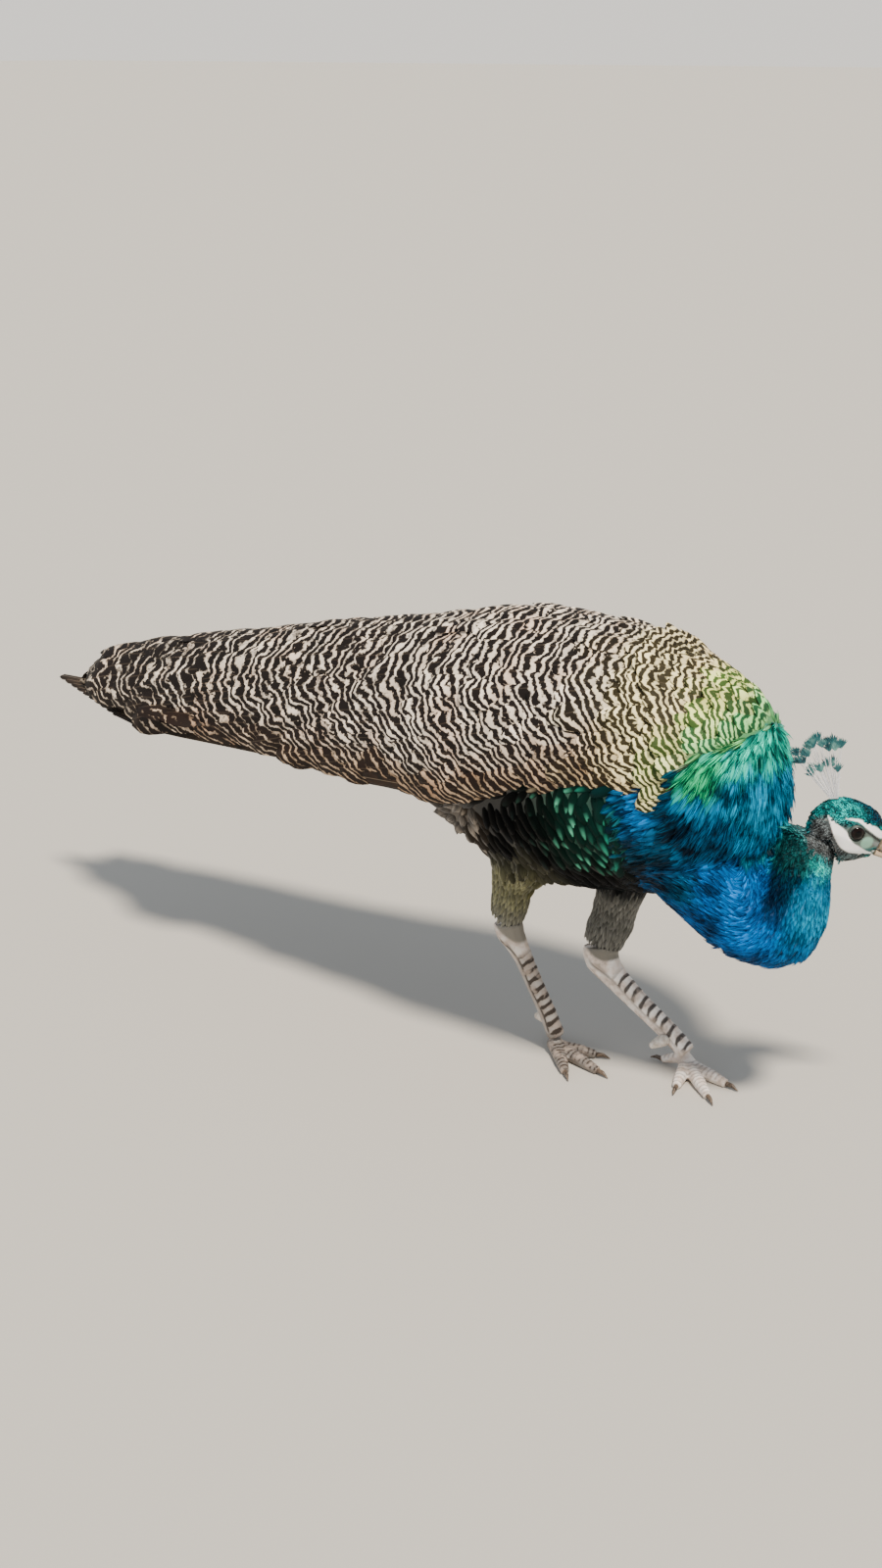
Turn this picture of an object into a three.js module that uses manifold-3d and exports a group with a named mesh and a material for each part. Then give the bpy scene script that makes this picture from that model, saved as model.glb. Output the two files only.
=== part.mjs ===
// Young Indian peacock, head low, one leg forward. Millimetres, +X is where the
// bird walks, +Y its left, +Z up; the floor is z = 0 under both soles.
import * as THREE from 'three';
import Module from 'manifold-3d';
import { mergeVertices } from 'three/addons/utils/BufferGeometryUtils.js';

const wasm = await Module();
wasm.setup();
const { Manifold, Mesh } = wasm;

// ---------------------------------------------------------------- sizes
const GAP = 0.3; // clearance between two neighbouring solids
const SEG = 20; // facets round a body ring
const LIMB_SEG = 10; // facets round a limb ring

const WING_SHELL = 10; // thickness of the folded wing over the trunk
const WING_PROUD = 4; // how far the wing stands out from the flank
const COVERT_SHELL = 7.5; // thickness of the roof of tail coverts
const TRUNK_REAR = -188; // where the trunk ends and the tail begins

const HEAD_TURN = 35; // degrees the head looks to the bird's left
const HEAD_DROP = 26; // degrees the bill points below level
const EYE_POINT = [208, 24.4, 282.8]; // mid-plane point between the eyes
const EYE_RADIUS = 7.4;
const EYE_SIDE = 12.8; // eyeball centre from the mid-plane
const SOCKET = [9.5, 24.5]; // radius and distance from the mid-plane of the eye hollow

const CREST_FEATHERS = 9;
const CREST_LENGTH = 62;
const CREST_SHAFT = 0.8; // half thickness of a bare shaft

const CLAW_LENGTH = 14;

// Outline of trunk and tail: x, half width, top, widest level, bottom.
const BODY = [
  [152, 9, 322, 304, 288],
  [148, 28, 344, 305, 270],
  [139, 48, 368, 307, 254],
  [123, 68, 389, 309, 236],
  [101, 83, 404, 310, 219],
  [75, 94, 416, 310, 203],
  [40, 102, 428, 309, 190],
  [0, 106, 433, 308, 183],
  [-50, 107, 434, 306, 176],
  [-90, 106, 435, 304, 176],
  [-130, 104, 430, 302, 190],
  [-170, 98, 420, 296, 222],
  [-205, 92, 414, 286, 247],
  [-240, 88, 406, 275, 254],
  [-300, 82, 395, 267, 252],
  [-360, 78, 377, 262, 247],
  [-420, 75, 364, 256, 243],
  [-480, 70, 351, 251, 238],
  [-540, 62, 334, 249, 239],
  [-590, 52, 322, 251, 243],
  [-626, 38, 307, 256, 250],
  [-647, 16, 290, 264, 259],
];

// Neck centre line from inside the breast round the fold: x, y, z, across, along.
const NECK = [
  [62, 0, 262, 78, 74],
  [94, 0, 225, 60, 56],
  [121, -1, 194, 46, 44],
  [144, -2, 181, 39, 37.5],
  [163, -3, 186, 35, 36],
  [172, -2, 209, 31.5, 32.5],
  [174, 1, 234, 28, 29],
  [176, 5, 257, 25.5, 26],
  [179, 9, 276, 23, 24],
];

// Head along its own axis: forward, half width, top, bottom.
const HEAD = [
  [-36, 9, 2, -22],
  [-31, 15, 12, -32],
  [-22, 19, 19.5, -38],
  [-11, 20.5, 23, -39],
  [0, 20, 23.4, -36.5],
  [9, 17.5, 22.6, -32.5],
  [16, 14, 20.2, -28],
  [21, 11.2, 16.6, -23.5],
  [25, 9, 11.8, -20],
  [27.4, 7.8, 7.8, -17.5],
];

const BILL_BASE = 27.7; // where the bill starts, forward of the eye
const BILL_TIP = 62.5;

// Legs: thigh and shank centre lines and the fan of toes.
const LEGS = {
  left: {
    thigh: [
      [-12, 52, 236, 36, 42],
      [-23, 51, 196, 30, 36],
      [-32, 48, 156, 23, 28],
      [-39, 43, 124, 17.5, 23.5],
      [-44, 37.5, 103, 14, 20],
    ],
    shank: [
      [-45, 37, 101, 13.5, 19.5],
      [-40.5, 35.5, 86, 11.5, 18],
      [-23, 33, 71, 8.4, 14],
      [8, 31, 51, 7.4, 11.8],
      [38, 30, 32.5, 7.6, 11],
      [57, 28.5, 19, 8.4, 10.2],
    ],
    toe_turn: -42,
    spur: { at: [42, 29, 33], to: [25, 16, 22] },
    inward: -1,
  },
  right: {
    thigh: [
      [-64, -44, 240, 38, 46],
      [-82, -42, 214, 32, 38],
      [-96, -38, 186, 23, 28],
      [-102, -36, 160, 17, 20.5],
      [-104, -35, 139, 13, 16],
    ],
    shank: [
      [-104.5, -35, 137, 12.5, 15.6],
      [-101, -34, 124, 10.8, 13.8],
      [-91, -29, 100, 7.8, 10.6],
      [-81, -23, 72, 7.2, 9.8],
      [-71, -15.5, 42, 7.4, 9.8],
      [-64, -11, 19, 8.4, 9.6],
    ],
    toe_turn: -15,
    spur: { at: [-69, -14.5, 38], to: [-90, -4, 29] },
    inward: 1,
  },
};

// Toes: length without the claw and the turn from the middle toe.
const TOES = {
  inner: { length: 40, angle: 33 },
  middle: { length: 58, angle: 0 },
  outer: { length: 47, angle: -32 },
  hind: { length: 27, angle: 142 },
};
const FRONT_TOE = [
  [0, 6.8, 8],
  [0.3, 6, 7],
  [0.62, 5.6, 6.5],
  [1, 3.6, 4.5],
];
const HIND_TOE = [
  [0, 14, 6],
  [0.5, 9, 5.4],
  [1, 3.4, 4.2],
];

// ---------------------------------------------------------------- helpers
const rad = (degrees) => (degrees * Math.PI) / 180;
const add = (a, b) => a.map((v, i) => v + b[i]);
const sub = (a, b) => a.map((v, i) => v - b[i]);
const scale = (a, k) => a.map((v) => v * k);
const dot = (a, b) => a.reduce((s, v, i) => s + v * b[i], 0);
const cross = (a, b) => [
  a[1] * b[2] - a[2] * b[1],
  a[2] * b[0] - a[0] * b[2],
  a[0] * b[1] - a[1] * b[0],
];
const unit = (a) => scale(a, 1 / Math.hypot(...a));

// A smooth row between given rows, by Catmull-Rom with equal steps.
function refine(rows, steps) {
  const out = [];
  const at = (i) => rows[Math.min(Math.max(i, 0), rows.length - 1)];
  for (let i = 0; i < rows.length - 1; i += 1) {
    for (let k = 0; k < steps; k += 1) {
      const t = k / steps;
      out.push(
        rows[i].map((_, j) => {
          const [a, b, c, d] = [at(i - 1)[j], at(i)[j], at(i + 1)[j], at(i + 2)[j]];
          return (
            b +
            0.5 * t * (c - a + t * (2 * a - 5 * b + 4 * c - d + t * (3 * b - a - 3 * c + d)))
          );
        }),
      );
    }
  }
  out.push(rows[rows.length - 1]);
  return out;
}

// A closed solid through rings of equal point count, capped with fans.
function skinRings(rings) {
  const n = rings[0].length;
  const verts = rings.flat();
  const tris = [];
  for (let r = 0; r < rings.length - 1; r += 1) {
    for (let i = 0; i < n; i += 1) {
      const j = (i + 1) % n;
      const [a, b] = [r * n + i, r * n + j];
      const [c, d] = [a + n, b + n];
      tris.push([a, b, d], [a, d, c]);
    }
  }
  for (const [ring, start, flip] of [
    [rings[0], 0, true],
    [rings[rings.length - 1], (rings.length - 1) * n, false],
  ]) {
    const centre = scale(ring.reduce(add, [0, 0, 0]), 1 / n);
    const c = verts.length;
    verts.push(centre);
    for (let i = 0; i < n; i += 1) {
      const j = (i + 1) % n;
      tris.push(flip ? [start + j, start + i, c] : [start + i, start + j, c]);
    }
  }
  return solid(verts, tris);
}

function solid(verts, tris) {
  const volume = tris.reduce(
    (s, [a, b, c]) => s + dot(verts[a], cross(verts[b], verts[c])),
    0,
  );
  const faces = volume < 0 ? tris.map(([a, b, c]) => [a, c, b]) : tris;
  return new Manifold(
    new Mesh({
      numProp: 3,
      vertProperties: new Float32Array(verts.flat()),
      triVerts: new Uint32Array(faces.flat()),
    }),
  );
}

const power = (v, p) => Math.sign(v) * Math.abs(v) ** p;

// Ring of the body at one x: an ellipse above the widest level, boxier below it.
function bodyRing([x, half, top, level, bottom], inset, floor) {
  const ring = [];
  const w = Math.max(half - inset, 0.6);
  const up = Math.max(top - level - inset, 0.6);
  const down = Math.max(level - bottom - (floor ? -60 : inset), 0.6);
  for (let i = 0; i < SEG; i += 1) {
    const a = (i / SEG) * 2 * Math.PI;
    const [c, s] = [Math.cos(a), Math.sin(a)];
    const flat = Math.min(Math.max((-150 - x) / 120, 0), 1);
    const boxy = s < 0 ? 1 - 0.45 * flat : 1;
    ring.push([x, w * power(c, boxy), level + (s > 0 ? up : down) * power(s, boxy)]);
  }
  return ring;
}

function body(from, to, inset, floor = false) {
  const rows = refine(BODY, 2).filter(
    ([x], i) => x >= from && x <= to && ((x > 60 && x < 150) || i % 2 === 0),
  );
  return skinRings(rows.map((row) => bodyRing(row, inset, floor)));
}

// Tube along a centre line; rows are x, y, z, half across, half along the bend plane.
function limb(rows, { steps = 2, seg = LIMB_SEG, grow = 0, side = [0, 1, 0] } = {}) {
  const path = refine(rows, steps);
  const rings = path.map((row, i) => {
    const before = path[Math.max(i - 1, 0)];
    const after = path[Math.min(i + 1, path.length - 1)];
    const along = unit(sub(after.slice(0, 3), before.slice(0, 3)));
    const front = unit(cross(side, along));
    const across = cross(along, front);
    return Array.from({ length: seg }, (_, k) => {
      const a = (k / seg) * 2 * Math.PI;
      const p = add(row.slice(0, 3), scale(across, (row[3] + grow) * Math.cos(a)));
      return add(p, scale(front, (row[4] + grow) * Math.sin(a)));
    });
  });
  return skinRings(rings);
}

// A prism over an outline in the x-z side view, between two y levels.
function sidePrism(outline, y0, y1) {
  const n = outline.length;
  const verts = [...outline.map(([x, z]) => [x, y0, z]), ...outline.map(([x, z]) => [x, y1, z])];
  const shape = outline.map(([x, z]) => new THREE.Vector2(x, z));
  const caps = THREE.ShapeUtils.triangulateShape(shape, []);
  const tris = [];
  for (const [a, b, c] of caps) tris.push([a, b, c], [a + n, c + n, b + n]);
  const turn = THREE.ShapeUtils.isClockWise(shape) ? -1 : 1;
  for (let i = 0; i < n; i += 1) {
    const j = (i + 1) % n;
    if (turn > 0) tris.push([i, i + n, j], [j, i + n, j + n]);
    else tris.push([i, j, i + n], [j, j + n, i + n]);
  }
  return solid(verts, tris);
}

function box(min, max) {
  return Manifold.cube(sub(max, min)).translate(min);
}

const union = (list) => list.reduce((a, b) => a.add(b));

// ---------------------------------------------------------------- trunk, wings, tail
const WING_OUTLINE = [
  [97, 342],
  [88, 372],
  [62, 400],
  [20, 470],
  [-150, 470],
  [-210, 384],
  [-262, 330],
  [-318, 284],
  [-332, 268],
  [-300, 262],
  [-240, 268],
  [-180, 274],
  [-115, 276],
  [-80, 290],
  [-45, 305],
  [-10, 318],
  [45, 320],
  [84, 330],
];

// The same outline a little larger, for the hollow the wing lies in.
function grown(outline, by) {
  const n = outline.length;
  return outline.map((p, i) => {
    const [a, b] = [outline[(i + n - 1) % n], outline[(i + 1) % n]];
    const d = unit([b[0] - a[0], b[1] - a[1]]);
    return [p[0] - d[1] * -by, p[1] + d[0] * -by];
  });
}

function wingSlab(side, by) {
  const outline = by > 0 ? grown(WING_OUTLINE, by) : WING_OUTLINE;
  const inner = by > 0 ? -GAP / 2 : GAP / 2;
  const [y0, y1] = side > 0 ? [inner, 160] : [-160, -inner];
  return sidePrism(outline, y0, y1);
}

const whole = body(-700, 200, 0);
const proud = body(-700, 200, -WING_PROUD);
const core = body(-700, 200, WING_SHELL - WING_PROUD);
const coreTight = body(-700, 200, WING_SHELL - WING_PROUD + GAP);
const wingRight = proud.intersect(wingSlab(-1, 0)).subtract(core);
const wingLeft = proud.intersect(wingSlab(1, 0)).subtract(core);
const wingBed = union([wingSlab(-1, GAP), wingSlab(1, GAP)]).subtract(coreTight);
const unwinged = whole.subtract(wingBed);

const legs = {};
for (const [name, leg] of Object.entries(LEGS)) {
  legs[name] = {
    thigh: limb(leg.thigh),
    thighGrown: limb(leg.thigh, { grow: GAP }),
    shank: limb(leg.shank),
  };
}

const ahead = box([TRUNK_REAR + GAP / 2, -200, 0], [300, 200, 600]);
const behind = box([-900, -200, 0], [TRUNK_REAR - GAP / 2, 200, 600]);
const trunk = unwinged
  .intersect(ahead)
  .subtract(legs.left.thighGrown)
  .subtract(legs.right.thighGrown);

const hollow = body(-700, 200, COVERT_SHELL, true).intersect(
  box([-625, -200, 0], [0, 200, 600]),
);
const coverts = unwinged.intersect(behind).subtract(hollow);

// Tail feathers close the underside of the roof and reach past its end.
const TAIL_FEATHERS = [
  [-196, 0, 263, 70, 4],
  [-260, 0, 263, 70, 4],
  [-340, 0, 258, 66, 3.8],
  [-420, 0, 253, 62, 3.6],
  [-500, 0, 250, 56, 3.4],
  [-580, 0, 255, 42, 3],
  [-640, 0, 262, 30, 2.4],
  [-690, 0, 268, 22, 1.6],
  [-712, 0, 270, 9, 0.8],
];
const tailFeathers = limb(TAIL_FEATHERS, { steps: 1, seg: 16 });
const tailGrown = limb(TAIL_FEATHERS, { steps: 1, seg: 16, grow: GAP });

// Flight feathers of the folded wing, a blade showing under its edge.
function primaries(side) {
  const rows = [
    [-130, 90, 279, 3, 12],
    [-190, 88, 271, 3, 13],
    [-250, 83, 262, 2.8, 12],
    [-310, 78, 257, 2.2, 9],
    [-352, 74, 256, 1.5, 4],
  ].map(([x, y, z, a, b]) => [x, side * y, z, a, b]);
  return limb(rows, { seg: 10, side: [0, side, 0] });
}

// ---------------------------------------------------------------- neck and head
const trunkForNeck = body(-700, 200, -GAP);
const cut = (rows, a, b) => rows.slice(a, b + 1);
const neckRows = refine(NECK, 2);
const neckPart = (a, b, grow = 0) => limb(cut(neckRows, a, b), { steps: 1, seg: 18, grow });
const neckBase = neckPart(0, 5).subtract(trunkForNeck);
const neckBend = neckPart(5, 9).subtract(neckPart(0, 5, GAP)).subtract(trunkForNeck);
const neckUpper = neckPart(9, 16)
  .subtract(neckPart(5, 9, GAP))
  .subtract(neckPart(0, 5, GAP))
  .subtract(trunkForNeck);

// Head frame: forward, left and up of the turned, lowered head.
const turn = rad(HEAD_TURN);
const drop = rad(HEAD_DROP);
const headForward = [Math.cos(turn) * Math.cos(drop), Math.sin(turn) * Math.cos(drop), -Math.sin(drop)];
const headLeft = [-Math.sin(turn), Math.cos(turn), 0];
const headUp = cross(headForward, headLeft);
const onHead = ([f, l, u]) =>
  add(EYE_POINT, add(add(scale(headForward, f), scale(headLeft, l)), scale(headUp, u)));

function headLoft(rows, { steps = 2, grow = 0, seg = 16 } = {}) {
  const rings = refine(rows, steps).map(([f, w, top, bottom]) => {
    const mid = (top + bottom) / 2;
    const tall = (top - bottom) / 2 + grow;
    return Array.from({ length: seg }, (_, k) => {
      const a = (k / seg) * 2 * Math.PI;
      return onHead([f, (w + grow) * Math.cos(a), mid + tall * Math.sin(a)]);
    });
  });
  return skinRings(rings);
}

function eyeball(side, grow) {
  const centre = onHead([0, side * EYE_SIDE, 0]);
  return Manifold.sphere(EYE_RADIUS + grow, 12).translate(centre);
}

function socket(side) {
  return Manifold.sphere(SOCKET[0], 12).translate(onHead([0, side * SOCKET[1], 0]));
}

const head = headLoft(HEAD)
  .subtract(neckPart(9, 16, GAP))
  .subtract(trunkForNeck)
  .subtract(eyeball(1, GAP))
  .subtract(eyeball(-1, GAP))
  .subtract(socket(1))
  .subtract(socket(-1));

// Bill: two curved lofts that meet along the gape.
const span = BILL_TIP - BILL_BASE;
const upperBill = [
  [BILL_BASE, 7.4, 7.2, -9],
  [BILL_BASE + 0.3 * span, 6.2, 5.8, -9],
  [BILL_BASE + 0.6 * span, 4.6, 2, -9.8],
  [BILL_BASE + 0.85 * span, 2.8, -4, -12],
  [BILL_TIP, 0.9, -11.6, -14.6],
];
const lowerBill = [
  [BILL_BASE, 6.6, -9 - GAP, -15.6],
  [BILL_BASE + 0.35 * span, 5.2, -9 - GAP, -14.4],
  [BILL_BASE + 0.7 * span, 3.6, -10.6 - GAP, -14.2],
  [BILL_BASE + 0.88 * span, 1.4, -12.8 - GAP, -14.6],
];
const billUpper = headLoft(upperBill, { seg: 12 });
const billLower = headLoft(lowerBill, { seg: 12 }).subtract(headLoft(upperBill, { seg: 12, grow: GAP }));

// Crest: bare shafts with a vaned tip, fanned over the back of the crown.
function crestFeather(k) {
  const t = k / (CREST_FEATHERS - 1);
  const lean = rad(-68 + 42 * t);
  const length = CREST_LENGTH * (k % 3 === 1 ? 0.62 : 1 - 0.1 * Math.abs(t - 0.5));
  const side = ((k % 3) - 1) * 2.2;
  const dir = [Math.sin(lean), 0, Math.cos(lean)];
  const rows = [
    [0, 1],
    [0.3, 1],
    [0.66, 1],
    [0.78, 5],
    [0.9, 7],
    [1, 2],
  ];
  const rings = rows.map(([s, wide]) => {
    const p = [dir[0] * s * length - 26 - 4 * (1 - t), side * (0.3 + s), dir[2] * s * length + 14];
    const w = CREST_SHAFT * wide;
    return [
      [dir[2] * w, 0, -dir[0] * w],
      [0, CREST_SHAFT, 0],
      [-dir[2] * w, 0, dir[0] * w],
      [0, -CREST_SHAFT, 0],
    ].map((d) => onHead(add(p, d)));
  });
  return skinRings(rings);
}
const crestPad = headLoft(
  [
    [-33, 1.6, 13, 7],
    [-29, 3.4, 19.5, 10],
    [-24, 3.6, 22, 13],
    [-19, 1.6, 22.6, 17],
  ],
  { steps: 1, seg: 10 },
);
const crest = union([
  crestPad,
  ...Array.from({ length: CREST_FEATHERS }, (_, k) => crestFeather(k)),
]).subtract(headLoft(HEAD, { grow: GAP }));

// ---------------------------------------------------------------- feet
function foot(leg) {
  const [x, y] = leg.shank[leg.shank.length - 1];
  const toe = (name) => {
    const { length, angle } = TOES[name];
    const a = rad(leg.toe_turn + leg.inward * angle);
    const d = [Math.cos(a), Math.sin(a), 0];
    const side = [-d[1], d[0], 0];
    const shape = name === 'hind' ? HIND_TOE : FRONT_TOE;
    const rows = shape.map(([s, z, r]) => [x + d[0] * s * length, y + d[1] * s * length, z, r, r]);
    const [tx, ty, tz, tr] = rows[rows.length - 1];
    const along = (s, z) => [tx + d[0] * s, ty + d[1] * s, z];
    const claw = limb(
      [
        [...along(-3, tz), 0.62 * tr, 0.7 * tr],
        [...along(0.5 * CLAW_LENGTH, tz + 0.6), 0.45 * tr, 0.5 * tr],
        [...along(CLAW_LENGTH, 1.2), 0.5, 0.6],
      ],
      { steps: 1, seg: 6, side },
    );
    return { pad: limb(rows, { steps: 1, seg: 8, side }), claw };
  };
  const toes = Object.fromEntries(Object.keys(TOES).map((name) => [name, toe(name)]));
  const joint = Manifold.sphere(9.6, 8).translate([x, y, 9]);
  const shell = union([joint, ...Object.values(toes).map(({ pad }) => pad)]);
  return { shell, claws: toes };
}

const floor = box([-900, -300, 0], [500, 300, 700]);
const spurs = {};
for (const [name, leg] of Object.entries(LEGS)) {
  const { shell, claws } = foot(leg);
  const { at, to } = leg.spur;
  const mid = scale(add(at, to), 0.5);
  spurs[name] = limb(
    [
      [...at, 4.6, 5],
      [...mid, 4.2, 4.6],
      [...to, 1.4, 1.5],
    ],
    { seg: 8 },
  ).subtract(limb(leg.shank, { grow: GAP }));
  legs[name].foot = shell.intersect(floor).subtract(limb(leg.shank, { grow: GAP }));
  legs[name].claws = Object.fromEntries(
    Object.entries(claws).map(([toe, { pad, claw }]) => [
      toe,
      claw.intersect(floor).subtract(pad.add(pad.translate([0, 0, GAP]))),
    ]),
  );
  legs[name].shank = legs[name].shank.subtract(legs[name].thighGrown);
  legs[name].thigh = legs[name].thigh.subtract(wingRight).subtract(wingLeft);
}

// ---------------------------------------------------------------- the group
const group = new THREE.Group();
group.name = 'peacock';

function put(name, shape, colour) {
  const parts = shape.decompose().sort((a, b) => b.volume() - a.volume());
  const mesh = parts[0].getMesh();
  const geometry = new THREE.BufferGeometry();
  const stride = mesh.numProp;
  const points = new Float32Array((mesh.vertProperties.length / stride) * 3);
  for (let i = 0; i < points.length / 3; i += 1) {
    for (let k = 0; k < 3; k += 1) points[3 * i + k] = mesh.vertProperties[stride * i + k];
  }
  geometry.setAttribute('position', new THREE.BufferAttribute(points, 3));
  geometry.setIndex(new THREE.BufferAttribute(new Uint32Array(mesh.triVerts), 1));
  const merged = mergeVertices(geometry, 1e-4);
  const material = new THREE.MeshStandardMaterial({ color: colour, roughness: 0.7 });
  const node = new THREE.Mesh(merged, material);
  node.name = name;
  group.add(node);
}

const BLUE = 0x0b4fa8;
const BARRED = 0x8d8066;
const DARK = 0x20241f;
const HORN = 0xb3a795;
put('trunk', trunk, 0x123d55);
put('neck_base', neckBase, BLUE);
put('neck_bend', neckBend, BLUE);
put('neck_upper', neckUpper, 0x0e7f83);
put('head', head, 0x1c4a45);
put('bill_upper', billUpper, HORN);
put('bill_lower', billLower, HORN);
put('eye_left', eyeball(1, 0), 0x2b170d);
put('eye_right', eyeball(-1, 0), 0x2b170d);
put('crest', crest, 0x2f6f6c);
put('wing_left', wingLeft, BARRED);
put('wing_right', wingRight, BARRED);
for (const [name, side] of [['left', 1], ['right', -1]]) {
  const blade = primaries(side)
    .subtract(proud.intersect(wingSlab(side, GAP)))
    .subtract(whole)
    .subtract(tailGrown);
  put(`primaries_${name}`, blade, 0x8a4f2a);
}
put('tail_coverts', coverts.subtract(tailGrown), BARRED);
put('tail_feathers', tailFeathers, 0x4c3a2c);
for (const name of ['left', 'right']) {
  put(`thigh_${name}`, legs[name].thigh, 0x9c9079);
  put(`shank_${name}`, legs[name].shank, 0xa79a92);
  put(`foot_${name}`, legs[name].foot, 0x93857c);
  put(`spur_${name}`, spurs[name], 0xd8d0c4);
  for (const [toe, shape] of Object.entries(legs[name].claws)) {
    put(`claw_${name}_${toe}`, shape, DARK);
  }
}

// Origin at the middle of the bounding box, on the floor.
const bounds = new THREE.Box3().setFromObject(group);
const shift = new THREE.Vector3(
  -(bounds.min.x + bounds.max.x) / 2,
  -(bounds.min.y + bounds.max.y) / 2,
  -bounds.min.z,
);
for (const node of group.children) node.geometry.translate(shift.x, shift.y, shift.z);

export default group;
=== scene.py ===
# %% [markdown]
# # A young peacock, walking
# The bird is a museum model at life size: a young male Indian peafowl in blue neck plumage, before
# its train has grown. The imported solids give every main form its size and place. Here one skin is
# drawn over them, and thousands of small feathers are laid on that skin the way a real coat grows.
# Lengths are written in millimetres in the bird's own frame (x the way it walks, y its left, z up,
# the origin on the floor between its feet) and turned to the scene's metres once.

import math

import bmesh
import bpy
import numpy as np
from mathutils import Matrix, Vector
from mathutils.bvhtree import BVHTree


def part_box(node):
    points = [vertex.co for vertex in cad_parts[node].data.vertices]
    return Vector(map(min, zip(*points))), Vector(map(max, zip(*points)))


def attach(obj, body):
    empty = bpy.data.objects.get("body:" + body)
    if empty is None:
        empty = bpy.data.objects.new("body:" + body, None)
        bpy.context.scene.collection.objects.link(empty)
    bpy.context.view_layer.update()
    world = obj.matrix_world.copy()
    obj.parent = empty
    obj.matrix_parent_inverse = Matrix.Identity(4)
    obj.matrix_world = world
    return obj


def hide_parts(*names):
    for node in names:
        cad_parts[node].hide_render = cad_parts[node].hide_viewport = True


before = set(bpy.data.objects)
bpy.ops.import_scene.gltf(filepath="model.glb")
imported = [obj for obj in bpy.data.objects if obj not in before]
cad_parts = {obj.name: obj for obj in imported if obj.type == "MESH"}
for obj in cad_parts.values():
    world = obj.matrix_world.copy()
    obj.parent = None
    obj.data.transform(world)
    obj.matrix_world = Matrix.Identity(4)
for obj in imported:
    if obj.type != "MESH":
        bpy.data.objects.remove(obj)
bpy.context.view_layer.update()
MM = 0.001
EYE_POINT = np.array([208.0, 24.4, 282.8])  # middle of the head between the eyes, in mm


def middle(*nodes):
    """The mean of the middles of some solids' boxes, in metres."""
    boxes = [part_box(node) for node in nodes]
    return np.mean([np.array(lo + hi) / 2 for lo, hi in boxes], axis=0)


WALK = middle("eye_left", "eye_right") - EYE_POINT * MM  # the bird's origin in the scene


def place(points):
    """Points in bird millimetres, as an array in scene metres."""
    return np.asarray(points, float) * MM + WALK


# %% [markdown]
# ## Small tools
# Colours are written as the sRGB hex values that one reads off a swatch, and the shader wants
# linear light, so one function turns them. One helper adds a node with its settings and links.

# %% Colours and nodes


def linear(hex_colour):
    """sRGB hex to linear RGBA."""
    srgb = [int(hex_colour[i : i + 2], 16) / 255 for i in (1, 3, 5)]
    return (*[c / 12.92 if c <= 0.04045 else ((c + 0.055) / 1.055) ** 2.4 for c in srgb], 1.0)


def add(tree, kind, inputs=None, **settings):
    """Adds a node, sets it, and gives each input a value or a link."""
    node = tree.nodes.new(kind)
    for key, value in settings.items():
        setattr(node, key, value)
    for key, value in (inputs or {}).items():
        if isinstance(value, bpy.types.NodeSocket):
            tree.links.new(value, node.inputs[key])
        else:
            node.inputs[key].default_value = value
    return node


def ramp(tree, factor, stops):
    """A colour for each of some values, with soft steps between."""
    node = add(tree, "ShaderNodeValToRGB", {0: factor})
    for _ in range(len(stops) - 2):
        node.color_ramp.elements.new(0.5)
    for element, (position, hex_colour) in zip(node.color_ramp.elements, stops):
        element.position = position
        element.color = linear(hex_colour)
    return node.outputs["Color"]


def finish_of(name, roughness, **sockets):
    """A material, its node tree and its shader."""
    material = bpy.data.materials.new(name)
    material.use_nodes = True
    shader = material.node_tree.nodes["Principled BSDF"]
    shader.inputs["Roughness"].default_value = roughness
    for key, value in sockets.items():
        shader.inputs[key.replace("_", " ")].default_value = value
    return material, material.node_tree, shader


def smooth(x, low, high):
    """0 below low, 1 above high, with a soft step between."""
    t = np.clip((x - low) / (high - low), 0, 1)
    return t * t * (3 - 2 * t)


# %% [markdown]
# ## The camera, the light and the floor
# The bird is seen from its right and a little ahead, from chest height, some 20 degrees down.
# A portrait format keeps the ground below and the air above. A soft sun stands high, ahead and to
# the near side, a wide weak one fills from the tail's end, and a pale floor runs to the horizon.

# %% Camera, lamps and floor
scene = bpy.context.scene
CAMERA_AT = Vector((1.0935, -1.5263, 0.920))
LOOK_AZIMUTH = 35.0
LOOK_DOWN = 20.0

camera = bpy.data.objects.new("camera", bpy.data.cameras.new("camera"))
camera.data.lens = 47.25
camera.data.sensor_width = 36.0
camera.location = CAMERA_AT
camera.rotation_euler = (math.radians(90 - LOOK_DOWN), 0, math.radians(LOOK_AZIMUTH))
scene.collection.objects.link(camera)
scene.camera = camera


def sun(name, towards, softness, strength, hex_colour):
    """Even light over the whole floor, from a soft disc in the sky. Angles in degrees."""
    light = bpy.data.lights.new(name, "SUN")
    light.angle = math.radians(softness)
    light.energy = strength
    light.color = linear(hex_colour)[:3]
    obj = bpy.data.objects.new(name, light)
    obj.rotation_euler = Vector(towards).to_track_quat("-Z", "Y").to_euler()
    scene.collection.objects.link(obj)


sun("key", (-0.5, 0.38, -1.25), 8, 6.2, "#fff2e0")
sun("fill", (0.8, 0.9, -0.35), 60, 0.45, "#e6f0ff")

world = bpy.data.worlds.new("studio")
world.use_nodes = True
air = world.node_tree
outward = add(air, "ShaderNodeTexCoord").outputs["Generated"]
upward = add(air, "ShaderNodeSeparateXYZ", {0: outward}).outputs[2]
AIR_STOPS = [(0.0, "#f3eee6"), (0.05, "#f3eee6"), (0.3, "#b4b8bd"), (1.0, "#a4abb1")]
air.links.new(ramp(air, upward, AIR_STOPS), air.nodes["Background"].inputs["Color"])
air.nodes["Background"].inputs["Strength"].default_value = 1.25
scene.world = world

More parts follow.
